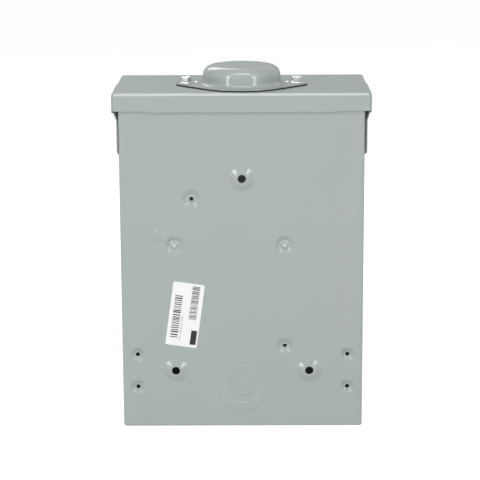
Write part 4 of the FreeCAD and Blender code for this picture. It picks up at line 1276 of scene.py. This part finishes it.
def make_print():
    dice = random.Random(11)
    marks = [bar for ladder in LADDERS for bar in bar_ladder(dice, *ladder)]
    marks.append(share_box(*BLOCK))
    for step in range(TICKS):
        at = TICK_TOP + step * TICK_PITCH
        right = TICK_LEFT + dice.uniform(*TICK_WIDTHS)
        marks.append(share_box(TICK_LEFT, at, right, at + TICK_TALL))
    pieces = []
    for points in marks:
        bar = add_outline("bar", points, "z", 0)
        lay_on_label(bar, INK_LIFT)
        pieces.append(bar)
    printing = join("label_print", pieces)
    face_towards(printing, "wall")
    thicken(printing, INK_THICK)
    settle(printing, ink, "rear_label")


make_print()

# %% [markdown]
# ## The front cover
# The cover has no ring around the meter: it is one sheet with a side flange each side and a drawn
# collar that holds the meter's rim. The collar is a ring profile again, set into the flat front.

# %% Cover sheet
COVER_FACE = BACK - 124.1 * MM


def make_cover_sheet():
    cover = add_box("cover_sheet", (cover_low.x, COVER_FACE, cover_low.z),
                    (cover_high.x, cover_high.y, cover_high.z))
    edit(cover)
    delete_faces(lambda face: face.normal.y > 0.5 or abs(face.normal.z) > 0.5)
    bevel_edges(lambda edge: near(centre_of(edge).y, COVER_FACE)
                and near(abs(centre_of(edge).x), cover_high.x), BEND, 6)
    leave()
    thicken(cover)
    return cover


# %% Collar and holes of the cover
METER_UP, LATCH_UP = 200 * MM, 39 * MM
COLLAR_SIDES = 128
# radii and height in millimetres, and the bends at the foot, the lip and the aperture
COLLAR, APERTURE, COLLAR_HEIGHT = 96, 81, 20
FOOT_BEND, LIP_BEND, APERTURE_BEND = 4, 5, 3
STAPLE_SLOT = ((45.1 * MM, 7.1 * MM), (48.9 * MM, 23.8 * MM))
LATCH_HOLE = 5.35 * MM


def make_cover():
    cover = make_cover_sheet()
    root = COLLAR + FOOT_BEND * 2
    rings = [(root, 0), *arc_rings(COLLAR + FOOT_BEND, FOOT_BEND, FOOT_BEND, 270, 180, 6),
             *arc_rings(COLLAR - LIP_BEND, COLLAR_HEIGHT - LIP_BEND, LIP_BEND, 0, 90, 7),
             *arc_rings(APERTURE + APERTURE_BEND, COLLAR_HEIGHT - APERTURE_BEND, APERTURE_BEND,
                        90, 180, 6), (APERTURE, COLLAR_HEIGHT - 5)]
    centre = Vector((0, COVER_FACE, METER_UP))
    ring = drawn_ring("collar", centre, in_mm(rings), "front", COLLAR_SIDES)
    thicken(ring)
    cover = set_into(cover, ring, centre, root * MM, "front", COLLAR_SIDES)
    (left, low), (right, high) = STAPLE_SLOT
    slot = add_box("slot", (left, COVER_FACE - LIP_CUT, low), (right, COVER_FACE + LIP_CUT, high))
    subtract(cover, slot,
             add_punch((0, COVER_FACE, LATCH_UP), LATCH_HOLE, "front", 40, LIP_CUT))
    soften(cover, 0.3 * MM, 2, 60)
    shade(cover)
    settle(cover, paint, "front_cover")


make_cover()

# %% [markdown]
# ## The latch wing
# A quarter turn of this cast wing swings the cam behind the lip. It is a round boss with a lever
# across it, softened all over as a casting is.

# %% Latch wing
wing_low, wing_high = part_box("latch_wing")
BOSS_RINGS = [(9, 0), (11.4, 0), *arc_rings(11, 1.9, 1, -30, 90, 6), (9.5, 3), (4, 3.2)]
LEVER_HALF, LEVER_ROUND = 4 * MM, 3.6 * MM
LEVER_TAPER, TAPER_UP = (0.62, 1, 0.94), 35 * MM


def make_lever():
    lever = add_box("lever", (-LEVER_HALF, wing_low.y, wing_low.z),
                    (LEVER_HALF, wing_high.y - 1.5 * MM, wing_high.z))
    edit(lever)
    bevel_edges(lambda edge: near(abs(centre_of(edge).x), LEVER_HALF)
                and abs(edge.verts[0].co.y - edge.verts[1].co.y) > MM, LEVER_ROUND, 6)
    pick(lambda face: near(centre_of(face).y, wing_low.y))
    bpy.ops.transform.resize(value=LEVER_TAPER, center_override=(0, wing_low.y, TAPER_UP))
    leave()
    return lever


def make_wing():
    centre = Vector((0, wing_high.y, LATCH_UP))
    boss = drawn_ring("boss", centre, in_mm(BOSS_RINGS), "front", 56, True)
    fill_open_end(boss)
    lever = make_lever()
    apply_modifier(boss, "BOOLEAN", operation="UNION", object=lever, solver="EXACT")
    bpy.data.objects.remove(lever)
    soften(boss, 0.5 * MM, 3, 40)
    boss.name = "latch_lever"
    shade(boss, 45)
    settle(boss, zinc, "latch_wing")


make_wing()
